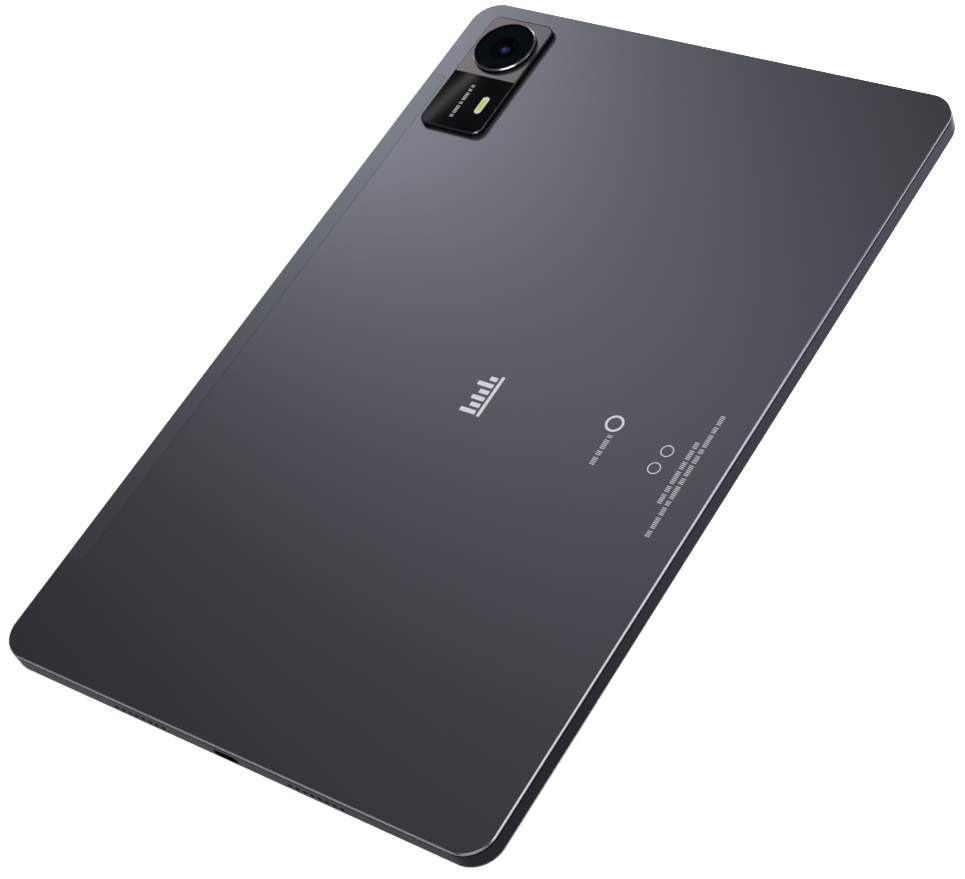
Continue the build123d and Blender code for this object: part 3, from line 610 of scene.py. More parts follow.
def make_element_with_painted_glint():
    """A small camera lens with a magenta to blue anti-reflection coat whose glint is painted into its
    colour: brightest where it faces the viewer, darkest where it is steepest.
    """
    material, tree, shader, place = new_material("lens_with_painted_purple_glint", IOR=1.6, Coat_Weight=1.0)
    facing = add(tree, "ShaderNodeLayerWeight", {"Blend": 0.5}).outputs["Facing"]
    # Painted glint: the colour turns bright purple where the lens faces the viewer.
    tree.links.new(blended(tree, facing, "#6a58e8", "#0a0724"), shader.inputs["Base Color"])
    tree.links.new(between(tree, speckle(tree, place, 0.5), 0.03, 0.08), shader.inputs["Roughness"])
    return material


def make_display():
    """A liquid-crystal display switched off: nearly black behind its polariser, with a faint
    grid of rows. The real pixels are 0.1 mm; the grid is drawn 0.4 mm so that it can show."""
    material, tree, shader, place = new_material("display_switched_off", IOR=1.5)
    grid = add(tree, "ShaderNodeTexBrick", {
        "Vector": place, "Scale": 1 / (0.4 * MM),
        "Mortar Size": 0.04, "Brick Width": 1.0, "Row Height": 1.0,
        "Color1": linear("#0b0c10"), "Color2": linear("#0d0e12"), "Mortar": linear("#07080a"),
    }, offset=0.0)
    tree.links.new(grid.outputs["Color"], shader.inputs["Base Color"])
    tree.links.new(between(tree, grid.outputs["Fac"], 0.22, 0.35), shader.inputs["Roughness"])
    return material


def make_flash_plastic():
    """Clear polycarbonate flash window: frosted at its rim, lemon where the diodes show through."""
    material, tree, shader, place = new_material("flash_diffuser", IOR=1.58, Coat_Weight=0.6)
    middle = Vector(((flash_low.x + flash_high.x) / 2, (flash_low.y + flash_high.y) / 2, 0)) * MM
    centred = add(tree, "ShaderNodeMapping", {"Vector": place, "Location": -middle, "Scale": (1, 1, 0)})
    half_length = (flash_high.y - flash_low.y) / 2 * MM
    half_width = (flash_high.x - flash_low.x) / 2 * MM
    fitted = stretched(tree, centred.outputs["Vector"], (1 / half_width, 1 / half_length, 0))
    reach = add(tree, "ShaderNodeVectorMath", {"Vector": fitted}, operation="LENGTH").outputs["Value"]
    rim = add(tree, "ShaderNodeMapRange", {"Value": reach, "From Min": 0.55, "From Max": 0.95})
    ribs = add(tree, "ShaderNodeTexWave", {
        "Vector": place, "Scale": 1 / (1.2 * MM), "Distortion": 0.5,
    }, bands_direction="Y")
    tree.links.new(blended(tree, rim.outputs["Result"], "#f0f05c", "#fbfcf6"), shader.inputs["Base Color"])
    tree.links.new(between(tree, ribs.outputs["Fac"], 0.12, 0.25), shader.inputs["Roughness"])
    dented(tree, shader, ribs.outputs["Fac"], 0.03, 0.6)
    return material


def make_mesh_cloth():
    """Woven black stainless cloth, 0.2 mm wires: a grid of dark openings, glinting where wires cross."""
    material, tree, shader, place = new_material("woven_steel_cloth", Metallic=0.8)
    wires = [lines(tree, place, 0.2, way) for way in ("X", "Z")]
    both = {0: wires[0], 1: wires[1]}
    weave = add(tree, "ShaderNodeMath", both, operation="MAXIMUM").outputs["Value"]
    tree.links.new(blended(tree, weave, "#020202", "#1b1b1d"), shader.inputs["Base Color"])
    tree.links.new(between(tree, weave, 0.6, 0.3), shader.inputs["Roughness"])
    dented(tree, shader, weave, 0.08)
    return material


def make_board(name, mask, trace):
    """Glass-epoxy circuit board under solder mask: copper runs show as paler lines 0.3 mm apart."""
    material, tree, shader, place = new_material(name, IOR=1.5)
    runs = add(tree, "ShaderNodeTexBrick", {
        "Vector": place, "Scale": 1 / (1.2 * MM),
        "Mortar Size": 0.12, "Brick Width": 3.0, "Row Height": 0.5,
        "Color1": linear(mask), "Color2": linear(mask), "Mortar": linear(trace),
    })
    tree.links.new(runs.outputs["Color"], shader.inputs["Base Color"])
    tree.links.new(between(tree, runs.outputs["Fac"], 0.4, 0.28), shader.inputs["Roughness"])
    dented(tree, shader, runs.outputs["Fac"], 0.02)
    return material


def make_polyimide():
    """Polyimide flexible circuit: amber film with fine copper conductors 0.5 mm apart."""
    material, tree, shader, place = new_material("polyimide_flex_circuit", IOR=1.6)
    tracks = lines(tree, place, 0.5, "X")
    tree.links.new(blended(tree, tracks, "#8a4b14", "#b9772f"), shader.inputs["Base Color"])
    tree.links.new(between(tree, tracks, 0.25, 0.4), shader.inputs["Roughness"])
    return material


cover_glass_material = make_cover_glass()
black_glass = make_black_glass()
lens_cover_material = make_lens_cover()
element_with_painted_glint = make_element_with_painted_glint()
display_off = make_display()
flash_plastic = make_flash_plastic()
mesh_cloth = make_mesh_cloth()
green_board = make_board("green_circuit_board", "#0f3a24", "#2f6b45")
black_board = make_board("black_circuit_board", "#0c0f12", "#23292d")
polyimide = make_polyimide()

INNER_PARTS = [
    (pearl_film, ["optical_films"]),
    (clear_acrylic, ["light_guide"]),
    (white_plastic, ["backlight_frame"]),
    (phosphor, ["backlight_led_bar", "flash_leds"]),
    (rolled_aluminium, ["midplate"]),
    (display_off, ["lcd_cell"]),
    (black_board, ["camera_sensor_board"]),
    (green_board, ["main_board", "sub_board", "battery_protection_board"]),
    (polyimide, ["display_flex", "sub_board_flex", "power_key_switch", "volume_key_switches"]),
    (chip_epoxy, ["board_components"]),
    (moulded_black, ["front_camera", "usb_tongue"]),
    (gold_plate, ["usb_contacts"]),
    (black_rubber, ["microphone_boot"]),
    (pouch_foil, ["battery_cell_left", "battery_cell_right"]),
    (white_tape, ["battery_adhesive"]),
    (mesh_cloth, ["speaker_meshes"]),
    (copper_foil, ["antenna_strips"]),
    (stamped_steel, [
        "display_back_plate", "camera_actuator", "board_shields", "board_screws", "microphone",
        "speaker_magnets", "card_socket", "ejector_rod", "ejector_lever",
    ]),
]
for spot in ("lower_left", "lower_right", "upper_left", "upper_right"):
    INNER_PARTS.append((moulded_black, [f"speaker_box_{spot}"]))
    INNER_PARTS.append((black_rubber, [f"speaker_membrane_{spot}"]))
for finish, node_names in INNER_PARTS:
    for node_name in node_names:
        for material_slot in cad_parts[node_name].material_slots:
            material_slot.material = finish


# ---------------------------------------------------------------- back cover and antenna window
def whole_back(name):
    """Plate with its cut edge above, and below it the set-back skirt that makes the groove, darkened with
    painted shade.
    """
    level = BACK - PLATE
    shell = plate(name, (0, 0), (2 * HALF_W, 2 * HALF_L), CORNER, level, PLATE - EDGE_CUT)
    edit(shell)
    mark_faces(shell, lambda at, n: n.z > 0.9)
    inset(EDGE_CUT, EDGE_CUT)
    mark_faces(shell, lambda at, n: n.z < -0.9)
    inset(GROOVE)
    push(z=band_high.z - level)
    inset(WALL - GROOVE)
    push(z=level - band_high.z)
    outward()
    rest()
    return shell


def window_cutter(grow):
    """The antenna window's outline, grown evenly; its outer half hangs over the long edge."""
    size = (2 * (WINDOW_WIDTH + grow), 2 * (WINDOW_HALF + grow))
    return plate("window_cutter", (-HALF_W, 0), size, WINDOW_CORNER, band_high.z - 1, FAR, 12)


def island_plate(name, shrink, low, high):
    """The camera island's outline, shrunk evenly, as a plate between two levels."""
    size = (ISLAND_W - 2 * shrink, ISLAND_L - 2 * shrink)
    return plate(name, (ISLAND_X, ISLAND_Y), size, ISLAND_R - shrink, low, high - low, ISLAND_STEPS)


COVER_ROUND = 0.035


def finish_back(piece, body, slot, main, node):
    """Softens, settles and paints a part of the back: its cut edge bright, its skirt nearly black as
    painted shade.
    """
    soften(piece, COVER_ROUND)
    settle(piece, body, slot, [main, cut_aluminium, groove_painted_shade], node)
    top_of_wall = BACK - EDGE_CUT
    paint(piece, 1, lambda at, n: top_of_wall < at.z < BACK - 0.03 and 0.25 < n.z < 0.97)
    # Painted shade: the skirt in the groove is drawn nearly black.
    paint(piece, 2, lambda at, n: at.z < BACK - PLATE + 0.02)


back = whole_back("back_cover")
strip = copy_of(back, "antenna_strip")
cut(
    back,
    window_cutter(SEAM / 2),
    island_plate("island_cutter", -PANEL_GAP, BACK - FAR, BACK + FAR),
)
strip_cutter = window_cutter(-SEAM / 2)
modify(strip, "BOOLEAN", operation="INTERSECT", solver="EXACT", object=strip_cutter)
bpy.data.objects.remove(strip_cutter)
finish_back(back, "housing", "anodised_back", blasted_aluminium, "rear_cover")
finish_back(strip, "housing", "antenna_plastic", flake_paint, "antenna_window")

# ---------------------------------------------------------------- side band
band = plate("side_band", (0, 0), (2 * HALF_W, 2 * HALF_L), CORNER, band_low.z, band_high.z - band_low.z)
inner_size = (2 * (HALF_W - WALL), 2 * (HALF_L - WALL))
cut(band, plate("inside_cutter", (0, 0), inner_size, CORNER - WALL, band_low.z - 1, 8))
END_LOW = -HALF_L - FAR
END_HIGH = HALF_L + FAR
hole_cutters = [
    drum("hole", (side * HOLE_X + (i - (HOLES - 1) / 2) * HOLE_PITCH, 0, HOLE_Z),
         HOLE_R, END_LOW, END_HIGH, 24, "Y")
    for side in (-1, 1)
    for i in range(HOLES)
]
MIC_HOLE_R = 0.45
mic_middle = (mic_low + mic_high) / 2
hole_cutters.append(drum("mic_hole", mic_middle, MIC_HOLE_R, END_LOW, FAR - HALF_L, 20, "Y"))
cut(band, join(*hole_cutters))


def slot_cutter(name, middle, half_length, half_height, facing):
    """A pill that cuts a slot through the band where it faces this axis, at the middle's side."""
    reach = [half_length, half_length, half_height]
    reach[facing] = FAR
    reach = Vector(reach)
    return pill(name, middle - reach, middle + reach, facing)


USB_HALF = 4.55
USB_HALF_HEIGHT = 1.6
usb_middle = Vector((0, -HALF_L, (usb_low.z + usb_high.z) / 2))
POWER_LENGTH = 13.0
power_middle = Vector(((power_low.x + power_high.x) / 2, HALF_L, KEY_Z))
VOLUME_LENGTH = 22.0
volume_middle = Vector((-HALF_W, (volume_low.y + volume_high.y) / 2, KEY_Z))
DOOR_PLAY = 0.08
BAND_ROUND = 0.09
door_middle = Vector((-HALF_W, (tray_low.y + tray_high.y) / 2, (tray_low.z + tray_high.z) / 2))
door_half = (tray_high.y - tray_low.y) / 2 + DOOR_PLAY
door_half_height = (tray_high.z - tray_low.z) / 2 + DOOR_PLAY
key_half_height = KEY_HEIGHT / 2 + KEY_PLAY
cut(
    band,
    slot_cutter("usb_cutter", usb_middle, USB_HALF, USB_HALF_HEIGHT, 1),
    slot_cutter("power_cutter", power_middle, POWER_LENGTH / 2 + KEY_PLAY, key_half_height, 1),
    slot_cutter("volume_cutter", volume_middle, VOLUME_LENGTH / 2 + KEY_PLAY, key_half_height, 0),
    slot_cutter("door_cutter", door_middle, door_half, door_half_height, 0),
)
soften(band, BAND_ROUND)
settle(band, "housing", "anodised_frame", [band_aluminium_painted_shade], "side_frame")

# ---------------------------------------------------------------- front: bezel, glass and its print
GAP = 0.05
BEZEL_INSET = HALF_W - bezel_high.x
GLASS_INSET = HALF_W - glass_high.x
BEZEL_ROUND = 0.3
BEZEL_REACH = 3.0
GLASS_ROUND = 0.35
INK_THICK = 0.015


def outline_plate(name, shrink, low, high):
    """The tablet's outline, shrunk evenly, as a plate between two levels."""
    size = (2 * (HALF_W - shrink), 2 * (HALF_L - shrink))
    return plate(name, (0, 0), size, CORNER - shrink, low, high - low)


bezel = outline_plate("front_rim", BEZEL_INSET, bezel_low.z, bezel_high.z)
round_edges(bezel, BEZEL_ROUND, 4, lambda at, way: at.z < bezel_low.z + SURE)
cut(
    bezel,
    outline_plate("glass_seat_cutter", GLASS_INSET - GAP, bezel_low.z - 1, glass_high.z),
    outline_plate("inside_cutter", BEZEL_REACH, glass_high.z - 0.1, bezel_high.z + 1),
)
soften(bezel, 0.04)
settle(bezel, "housing", "black_bezel", [moulded_black], "front_bezel")

glass = outline_plate("screen_glass", GLASS_INSET, glass_low.z, glass_high.z - 2 * INK_THICK)
round_edges(glass, GLASS_ROUND, 6, lambda at, way: at.z < glass_low.z + SURE)
smooth(glass, 20)
settle(glass, "housing", "screen_glass", [cover_glass_material], "cover_glass")

CELL_EDGE = 1.25
ACTIVE_HALF_X = cell_high.x - CELL_EDGE
ACTIVE_HALF_Y = 129.25
ACTIVE_CORNER = 1.2
EYE_HOLE_R = 1.25
border = outline_plate("black_border", GLASS_INSET + 0.1, glass_high.z - INK_THICK, glass_high.z)
front_lens_x = (front_camera_low.x + front_camera_high.x) / 2
cut(
    border,
    plate("screen_cutter", (0, 0), (2 * ACTIVE_HALF_X, 2 * ACTIVE_HALF_Y), ACTIVE_CORNER, 0, 2, 8),
    drum("eye_cutter", (front_lens_x, 0, 0), EYE_HOLE_R, 0, 2, 48),
)
smooth(border)
settle(border, "housing", "black_bezel", [screen_ink])

# ---------------------------------------------------------------- camera island
FLANGE_THICK = 0.45
FLANGE_REACH = 1.2
ISLAND_WALL = 1.4
SHELF_THICK = 0.6
trim = island_plate("camera_surround", 0, trim_low.z + FLANGE_THICK, trim_high.z - ISLAND_EDGE)
edit(trim)
mark_faces(trim, lambda at, n: n.z > 0.9)
inset(ISLAND_EDGE, ISLAND_EDGE)
inset(ISLAND_RIM - ISLAND_EDGE)
push(z=deco_low.z - trim_high.z)
outward()
rest()


def flash_pill(name, grow, low, high):
    """The flash window's outline, grown evenly, between two levels."""
    near = (flash_low.x - grow, flash_low.y - grow, low)
    far = (flash_high.x + grow, flash_high.y + grow, high)
    return pill(name, near, far, 2, 14)


FLASH_PLAY = 0.2
FLASH_SEAM = 0.03
SHELF_LOW = BACK - SHELF_THICK
ABOVE = BACK + FAR
cut(
    trim,
    island_plate("hollow_cutter", ISLAND_WALL, trim_low.z - 1, deco_low.z - SHELF_THICK),
    drum("well_cutter", (LENS_X, LENS_Y, 0), LENS_WELL_R, SHELF_LOW, ABOVE),
    flash_pill("flash_cutter", FLASH_PLAY, SHELF_LOW, ABOVE),
)
flange = island_plate("flange", -FLANGE_REACH, trim_low.z, trim_low.z + FLANGE_THICK)
cut(flange, island_plate("hollow_cutter", ISLAND_WALL, trim_low.z - 1, trim_high.z))
soften(trim, 0.05, 3)
smooth(flange)
join(trim, flange)
settle(trim, "housing", "dark_camera_trim", [black_aluminium, cut_black_edge], "camera_trim")
trim_edge_z = trim_high.z - ISLAND_EDGE
paint(trim, 1, lambda at, n: trim_edge_z < at.z < trim_high.z - 0.02 and 0.25 < n.z < 0.97)

deco = island_plate("camera_metal_plate", ISLAND_RIM + PANEL_GAP, deco_low.z, deco_high.z)
lens_end = (ISLAND_X + ISLAND_W, ISLAND_TOP_Y + FAR, ABOVE)
flash_end = (ISLAND_X - ISLAND_W, ISLAND_LOW_Y - FAR, SHELF_LOW)
cut(
    deco,
    block("split_cutter", flash_end, (lens_end[0], PANEL_SPLIT_Y + PANEL_GAP, ABOVE)),
    drum("ring_cutter", (LENS_X, LENS_Y, 0), LENS_RING_R + GAP, SHELF_LOW, ABOVE, 128),
)
soften(deco, 0.05)
settle(deco, "housing", "deco_plate", [brushed_aluminium], "camera_deco_plate")

panel = island_plate("camera_glass", ISLAND_RIM + PANEL_GAP, panel_low.z, panel_high.z)
cut(
    panel,
    block("split_cutter", (flash_end[0], PANEL_SPLIT_Y - PANEL_GAP, SHELF_LOW), lens_end),
    flash_pill("flash_cutter", FLASH_SEAM, SHELF_LOW, ABOVE),
)
soften(panel, 0.07, 3)
settle(panel, "housing", "black_glass", [black_glass], "camera_glass_panel")

flash = flash_pill("flash_window", 0, flash_low.z, flash_high.z)
round_edges(flash, 0.25, 4, lambda at, way: at.z > flash_high.z - SURE)
smooth(flash)
settle(flash, "housing", "flash_plastic", [flash_plastic], "flash_lens")

# ---------------------------------------------------------------- lens
RING_EDGE = 0.35
RING_BORE_R = 9.4
LENS = (LENS_X, LENS_Y)


def from_lens(at):
    """How far a point is from the lens's axis."""
    return math.hypot(at.x - LENS_X, at.y - LENS_Y)


ring = turned("lens_ring_body", LENS, [
    (RING_BORE_R, ring_low.z),
    (LENS_RING_R, ring_low.z),
    (LENS_RING_R, ring_high.z - RING_EDGE),
    (LENS_RING_R - RING_EDGE, ring_high.z),
    (LENS_GLASS_R + GAP, ring_high.z),
    (LENS_GLASS_R + GAP, lens_low.z),
    (RING_BORE_R, lens_low.z),
], 144)
soften(ring, 0.05, 3)
settle(ring, "housing", "lens_ring_metal", [black_aluminium, polished_steel], "lens_ring")
rim_z = ring_high.z - RING_EDGE
rim_r = LENS_RING_R - RING_EDGE
paint(ring, 1, lambda at, n: 0.3 < n.z < 0.96 and at.z > rim_z and from_lens(at) > rim_r)

cover = drum("lens_window", (LENS_X, LENS_Y, 0), LENS_GLASS_R, lens_low.z, lens_high.z, 128)
round_edges(cover, 0.1, 3, lambda at, way: abs(at.z - lens_high.z) < SURE)
smooth(cover)
settle(cover, "housing", "lens_glass", [lens_cover_material], "lens_cover_glass")


SHELF_R = 9.3
CONE_TOP_R = 4.9
CONE_LOW_R = 3.6
CONE_STEPS = 6
CONE_TREAD = 0.16
CONE_LIP = 0.1


def baffle_profile():
    """A flat black shelf under the glass, then a stepped cone that narrows to the lens."""
    under = baffle_high.z - 0.18
    points = [(SHELF_R, baffle_high.z), (SHELF_R, under), (CONE_TOP_R + 0.25, under)]
    points += [(CONE_LOW_R + 0.25, baffle_low.z), (CONE_LOW_R, baffle_low.z)]
    low = baffle_low.z + CONE_LIP
    for i in range(CONE_STEPS):
        radius = CONE_LOW_R + (CONE_TOP_R - CONE_LOW_R) * i / CONE_STEPS
        height = low + (baffle_high.z - low) * i / CONE_STEPS
        points.append((radius, height))
        points.append((radius + CONE_TREAD, height))
    return points + [(CONE_TOP_R, baffle_high.z)]


baffle = turned("lens_cone", LENS, baffle_profile(), 128)
smooth(baffle)
settle(baffle, "housing", "black_plastic", [gloss_black, teal_painted_reflection_black], "lens_baffle")
# Painted reflection: the shelf under the lens cover gets the blue-green tint of the coat's reflection.
paint(baffle, 1, lambda at, n: from_lens(at) > CONE_TOP_R + 0.15 and n.z > 0.5)

BARREL_TOP = barrel_high.z
barrel = turned("lens_barrel", LENS, [
    (2.3, barrel_low.z),
    (3.4, barrel_low.z),
    (3.4, BARREL_TOP - 0.2),
    (3.2, BARREL_TOP),
    (2.7, BARREL_TOP),
    (2.5, BARREL_TOP - 0.15),
    (2.5, BARREL_TOP - 0.25),
    (2.1, BARREL_TOP - 0.3),
    (2.1, BARREL_TOP - 0.42),
    (1.75, BARREL_TOP - 0.45),
    (1.75, BARREL_TOP - 1.5),
    (2.3, BARREL_TOP - 1.7),
], 96)
smooth(barrel)
settle(barrel, "camera_lens_carrier", "black_plastic", [gloss_black], "camera_barrel")


def dome_profile(radius, low, edge, top, steps=8):
    """A lens blank: flat below, with a rim up to edge and a round front up to top."""
    rise = top - edge
    curve = (radius * radius + rise * rise) / (2 * rise)
    spread = math.asin(radius / curve)
    arc = [(curve * math.sin(spread * i / steps), top - curve + curve * math.cos(spread * i / steps))
           for i in range(steps, -1, -1)]
    return [(0.0, low), (radius, low)] + arc


ELEMENT_R = 1.68
ELEMENT_RISE = 0.42
EYE_R = 0.5
element_dome = dome_profile(ELEMENT_R, element_low.z, element_high.z - ELEMENT_RISE, element_high.z)
front_lens = turned("front_lens", LENS, element_dome, 64)
smooth(front_lens, 60)
settle(front_lens, "camera_lens_carrier", "lens_glass", [element_with_painted_glint], "camera_front_element")

eye_top = front_camera_low.z
eye_dome = dome_profile(EYE_R, eye_top + 0.24, eye_top + 0.12, eye_top + 0.04)
eye = turned("front_eye_lens", (front_lens_x, 0), eye_dome, 32)
smooth(eye, 60)
settle(eye, "housing", "lens_glass", [element_with_painted_glint])

# ---------------------------------------------------------------- keys
FLANGE = 0.6
NUB_R = 0.8
KEY_ROUND = 0.25


def key(name, low, high, facing, outer, flange, nubs):
    """A pill-shaped key with a rounded face, the flange that keeps it in, and its switch nubs."""
    piece = pill(name, low, high, facing, KEY_STEPS)
    round_edges(piece, KEY_ROUND, 4, lambda at, way: abs(at[facing] - outer) < SURE)
    smooth(piece)
    lip = block("lip", *flange)
    soften(lip, 0.08)
    join(piece, lip, *nubs)
    return piece


power_x = power_middle.x
lip_y = HALF_L - WALL - 0.1
power = key(
    "power_key",
    (power_x - POWER_LENGTH / 2, lip_y, KEY_Z - KEY_HEIGHT / 2),
    (power_x + POWER_LENGTH / 2, power_high.y, KEY_Z + KEY_HEIGHT / 2),
    1, power_high.y,
    ((power_low.x, lip_y - FLANGE, power_low.z), (power_high.x, lip_y, power_high.z)),
    [drum("nub", power_middle, NUB_R, power_low.y, lip_y - FLANGE, 24, "Y")],
)
settle(power, "power_button", "anodised_frame", [band_aluminium_painted_shade], "power_button")

volume_y = volume_middle.y
lip_x = -HALF_W + WALL + 0.35
NUB_Y = 7.5
nub_middles = [(0, volume_y + side * NUB_Y, KEY_Z) for side in (-1, 1)]
volume = key(
    "volume_key",
    (volume_low.x, volume_y - VOLUME_LENGTH / 2, KEY_Z - KEY_HEIGHT / 2),
    (lip_x, volume_y + VOLUME_LENGTH / 2, KEY_Z + KEY_HEIGHT / 2),
    0, volume_low.x,
    ((lip_x, volume_low.y, volume_low.z), (lip_x + FLANGE, volume_high.y, volume_high.z)),
    [drum("nub", middle, NUB_R, lip_x + FLANGE, volume_high.x, 24, "X") for middle in nub_middles],
)
settle(volume, "volume_rocker", "anodised_frame", [band_aluminium_painted_shade], "volume_rocker")

# ---------------------------------------------------------------- card tray
DOOR_THICK = 1.1
TRAY_THICK = 0.9
TRAY_Y = 79.0
TRAY_HALF = 7.0
TRAY_CORNER = 1.0
PIN_Y = 88.8
PIN_R = 0.45
tray_z = (tray_low.z + tray_high.z) / 2
door_back = tray_low.x + DOOR_THICK
door = pill("card_door", tray_low, (door_back, tray_high.y, tray_high.z), 0, KEY_STEPS)
cut(door, drum("pin_cutter", (0, PIN_Y, tray_z), PIN_R, tray_low.x - FAR, door_back + FAR, 24, "X"))
soften(door, 0.08)
sled_low = tray_z - TRAY_THICK / 2
sled_high = sled_low + TRAY_THICK
sled = block(
    "sled",
    (door_back, TRAY_Y - TRAY_HALF, sled_low),
    (tray_high.x, TRAY_Y + TRAY_HALF, sled_high),
)
round_edges(sled, TRAY_CORNER, 6, lambda at, way: abs(way.z) > 0.9 and at.x > tray_high.x - 0.1)
# Two pockets, one for each card, each a shelf 1 mm wide round an opening: near and far end, half width.
CARD_POCKETS = [(-85.6, -76.7, 6.2), (-75.5, -61.0, 5.55)]
SHELF = 1.0
SHELF_HEIGHT = 0.2
for near_x, far_x, half in CARD_POCKETS:
    near_y, far_y = TRAY_Y - half, TRAY_Y + half
    cut(
        sled,
        block("pocket", (near_x, near_y, sled_low + SHELF_HEIGHT), (far_x, far_y, sled_high + 1)),
        block(
            "opening",
            (near_x + SHELF, near_y + SHELF, sled_low - 1),
            (far_x - SHELF, far_y - SHELF, sled_high),
        ),
    )
soften(sled, 0.06)
join(door, sled)
settle(door, "card_tray", "anodised_frame", [band_aluminium_painted_shade], "card_tray")

# ---------------------------------------------------------------- charging port
USB_WALL = 0.3
USB_FLOOR = 0.4
shell = pill("port_shell", usb_low, usb_high, 1, KEY_STEPS)
inside_low = usb_low + Vector((USB_WALL, -1, USB_WALL))
inside_high = usb_high - Vector((USB_WALL, USB_FLOOR, USB_WALL))
cut(shell, pill("port_cutter", inside_low, inside_high, 1, KEY_STEPS))
soften(shell, 0.08, 3)
# Painted shade: the steel shell in the deep slot is drawn dark.
settle(shell, "housing", "stamped_steel", [port_steel_painted_shade], "usb_shell")

# ---------------------------------------------------------------- print on the back: plain generic marks
INK_HEIGHT = 0.02


def ink(low_x, high_x, low_y, high_y, corner, level=BACK):
    """One solid printed patch."""
    middle = ((low_x + high_x) / 2, (low_y + high_y) / 2)
    size = (high_x - low_x, high_y - low_y)
    return plate("ink", middle, size, corner, level, INK_HEIGHT, 4)


def ink_ring(x, y, outer, line):
    """One printed ring."""
    ring_piece = drum("ink", (x, y, 0), outer, BACK, BACK + INK_HEIGHT, 48)
    return cut(ring_piece, drum("ink_cutter", (x, y, 0), outer - line, BACK - 1, BACK + 1, 48))


def strokes(x, height, low_y, high_y, groups, level=BACK):
    """A row along Y of fine upright strokes, in groups of the given counts, at one height of print."""
    row = []
    y = low_y
    turn = 0
    while y < high_y:
        for _ in range(groups[turn % len(groups)]):
            if y < high_y:
                row.append(ink(x - height / 2, x + height / 2, y, y + STROKE, 0, level))
            y += STROKE_PITCH
        y += STROKE_PITCH
        turn += 1
    return row


STROKE = 0.22
STROKE_PITCH = 0.58
BAR_HEIGHTS = (5.6, 3.4, 4.6, 3.4, 5.6, 2.6)
BAR_FOOT_X = 6.5
BAR_LOW_Y = -14.6
BAR_WIDTH = 1.5
BAR_PITCH = 2.5
BAR_CORNER = 0.3
marks = []
for i, tall in enumerate(BAR_HEIGHTS):
    bar_y = BAR_LOW_Y + BAR_PITCH * i
    marks.append(ink(BAR_FOOT_X - tall, BAR_FOOT_X, bar_y, bar_y + BAR_WIDTH, BAR_CORNER))
marks.append(ink(7.3, 8.4, -14.9, 0.3, BAR_CORNER))
marks += strokes(50.4, 1.7, -18.0, -7.4, (5, 3, 6))
marks.append(ink_ring(49.4, -3.3, 2.9, 0.75))
marks.append(ink_ring(68.6, -13.0, 2.0, 0.3))
marks.append(ink_ring(69.2, -6.6, 2.0, 0.3))
marks += strokes(76.1, 1.5, -22.9, -0.9, (6, 4, 8, 5))
marks += strokes(78.6, 1.5, -33.8, 9.2, (4, 7, 5, 3, 8))
marks += strokes(-69.0, 1.3, 86.2, 100.6, (2, 6), panel_high.z)
print_marks = join(*marks)
print_marks.name = "back_print"
smooth(print_marks)
settle(print_marks, "housing", "optical_film", [print_ink])

# ---------------------------------------------------------------- floor, light and camera
# The floor under the tablet glows, and more so beyond the far right corner, which lights the side band.
FLOOR_GLOW = 0.5
FAR_GLOW = 3.3
floor_material, floor_tree, floor_shader, floor_place = new_material("white_studio_floor", Roughness=0.9)
floor_tone = blended(floor_tree, speckle(floor_tree, floor_place, 400.0), "#f4f4f4", "#f6f6f6")
floor_tree.links.new(floor_tone, floor_shader.inputs["Base Color"])
floor_shader.inputs["Emission Color"].default_value = linear("#ffffff")
spots = add(floor_tree, "ShaderNodeSeparateXYZ", {"Vector": floor_place}).outputs
reach = add(floor_tree, "ShaderNodeMath", {0: spots["X"], 1: spots["Y"]}, operation="ADD").outputs["Value"]
glow = add(floor_tree, "ShaderNodeMapRange", {
    "Value": reach, "From Min": 0.0, "From Max": 0.22, "To Min": FLOOR_GLOW, "To Max": FAR_GLOW,
}).outputs["Result"]
floor_tree.links.new(glow, floor_shader.inputs["Emission Strength"])
rest()
bpy.ops.mesh.primitive_plane_add(size=12.0, location=(0, 0, cad_low.z - 0.0002))
floor = bpy.context.object
floor.name = "floor"
floor.data.materials.append(floor_material)

world = bpy.data.worlds.new("studio")
world.use_nodes = True
bpy.context.scene.world = world
ROOM_LIGHT = 0.07
BACKDROP = 0.95
seen = add(world.node_tree, "ShaderNodeLightPath").outputs["Is Camera Ray"]
background = world.node_tree.nodes["Background"]
background.inputs["Color"].default_value = linear("#ffffff")
strength = between(world.node_tree, seen, ROOM_LIGHT, BACKDROP)
world.node_tree.links.new(strength, background.inputs["Strength"])


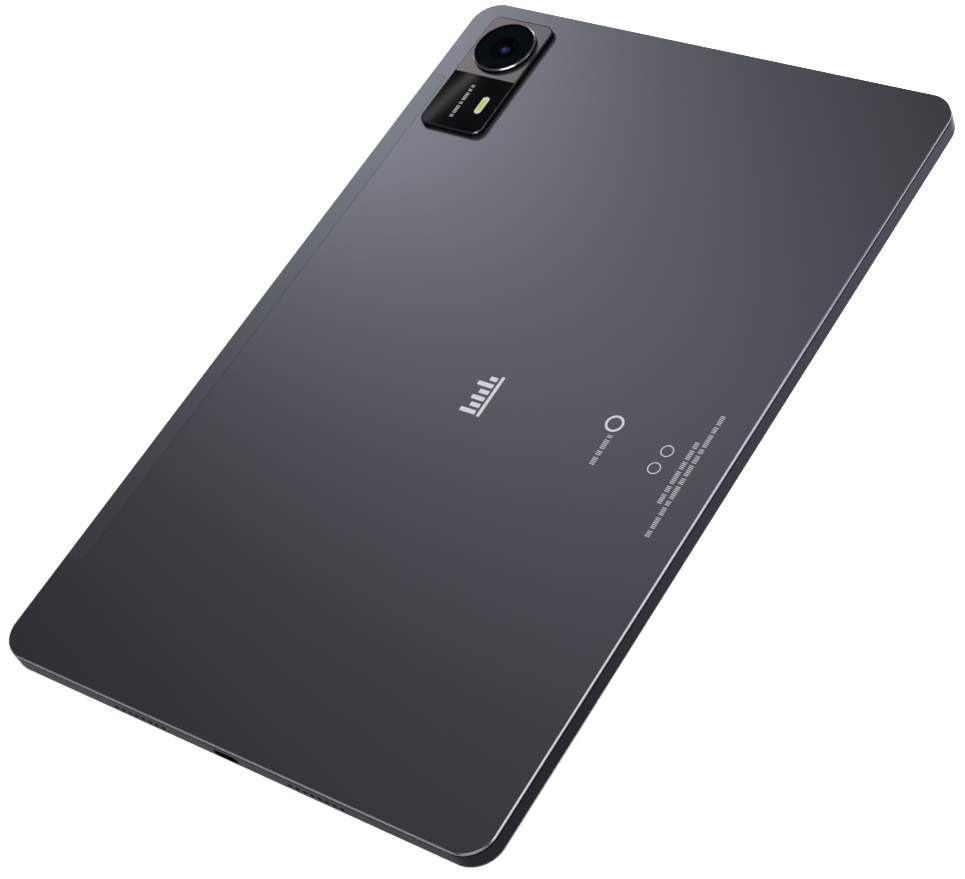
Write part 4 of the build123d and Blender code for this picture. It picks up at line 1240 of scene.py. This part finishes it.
def soft_light(name, azimuth, elevation, distance, size, radiance, roll=0.0):
    """A softbox on a sphere round the tablet, in degrees and metres, turned to face it."""
    a, e = math.radians(azimuth), math.radians(elevation)
    away = Vector((math.cos(a) * math.cos(e), math.sin(a) * math.cos(e), math.sin(e)))
    lamp = bpy.data.lights.new(name, "AREA")
    lamp.shape = "RECTANGLE"
    lamp.size, lamp.size_y = size
    lamp.energy = radiance * math.pi * size[0] * size[1]
    holder = bpy.data.objects.new(name, lamp)
    holder.location = away * distance
    turn = away.to_track_quat("Z", "Y").to_matrix() @ Matrix.Rotation(math.radians(roll), 3, "Z")
    holder.rotation_euler = turn.to_euler()
    bpy.context.scene.collection.objects.link(holder)


soft_light("low_softbox", 142, 28, 2.2, (0.3, 0.3), 26.5)
soft_light("high_softbox", 134, 50, 2.2, (0.3, 0.3), 3.8)
soft_light("side_softbox", 14, 30, 2.0, (1.2, 0.6), 1.5)
soft_light("edge_softbox", -124, 16, 2.0, (1.2, 0.4), 0.4)
soft_light("corner_softbox", -60, 30, 2.2, (2.8, 0.35), 0.75)
soft_light("front_softbox", -62, 66, 2.2, (1.4, 1.4), 4.7)
soft_light("strip_softbox", 139.86, 38.44, 2.2, (0.009, 0.09), 1.5, 107.85)

# The photograph's camera, solved from the tablet's outline.
CAMERA_PLACE = Vector((403.7, -298.3, 532.6)) * MM
CAMERA_AIM = Vector((14.18, -21.47, BACK)) * MM
CAMERA_ROLL = math.radians(27.73)
CAMERA_LENS = 91.91
lens = bpy.data.cameras.new("camera")
lens.lens = CAMERA_LENS
lens.sensor_width = 36.0
camera = bpy.data.objects.new("camera", lens)
camera.location = CAMERA_PLACE
level_turn = (CAMERA_AIM - CAMERA_PLACE).to_track_quat("-Z", "Y").to_matrix()
camera.rotation_euler = (level_turn @ Matrix.Rotation(-CAMERA_ROLL, 3, "Z")).to_euler()
bpy.context.scene.collection.objects.link(camera)
bpy.context.scene.camera = camera
bpy.context.scene.view_settings.view_transform = "Standard"
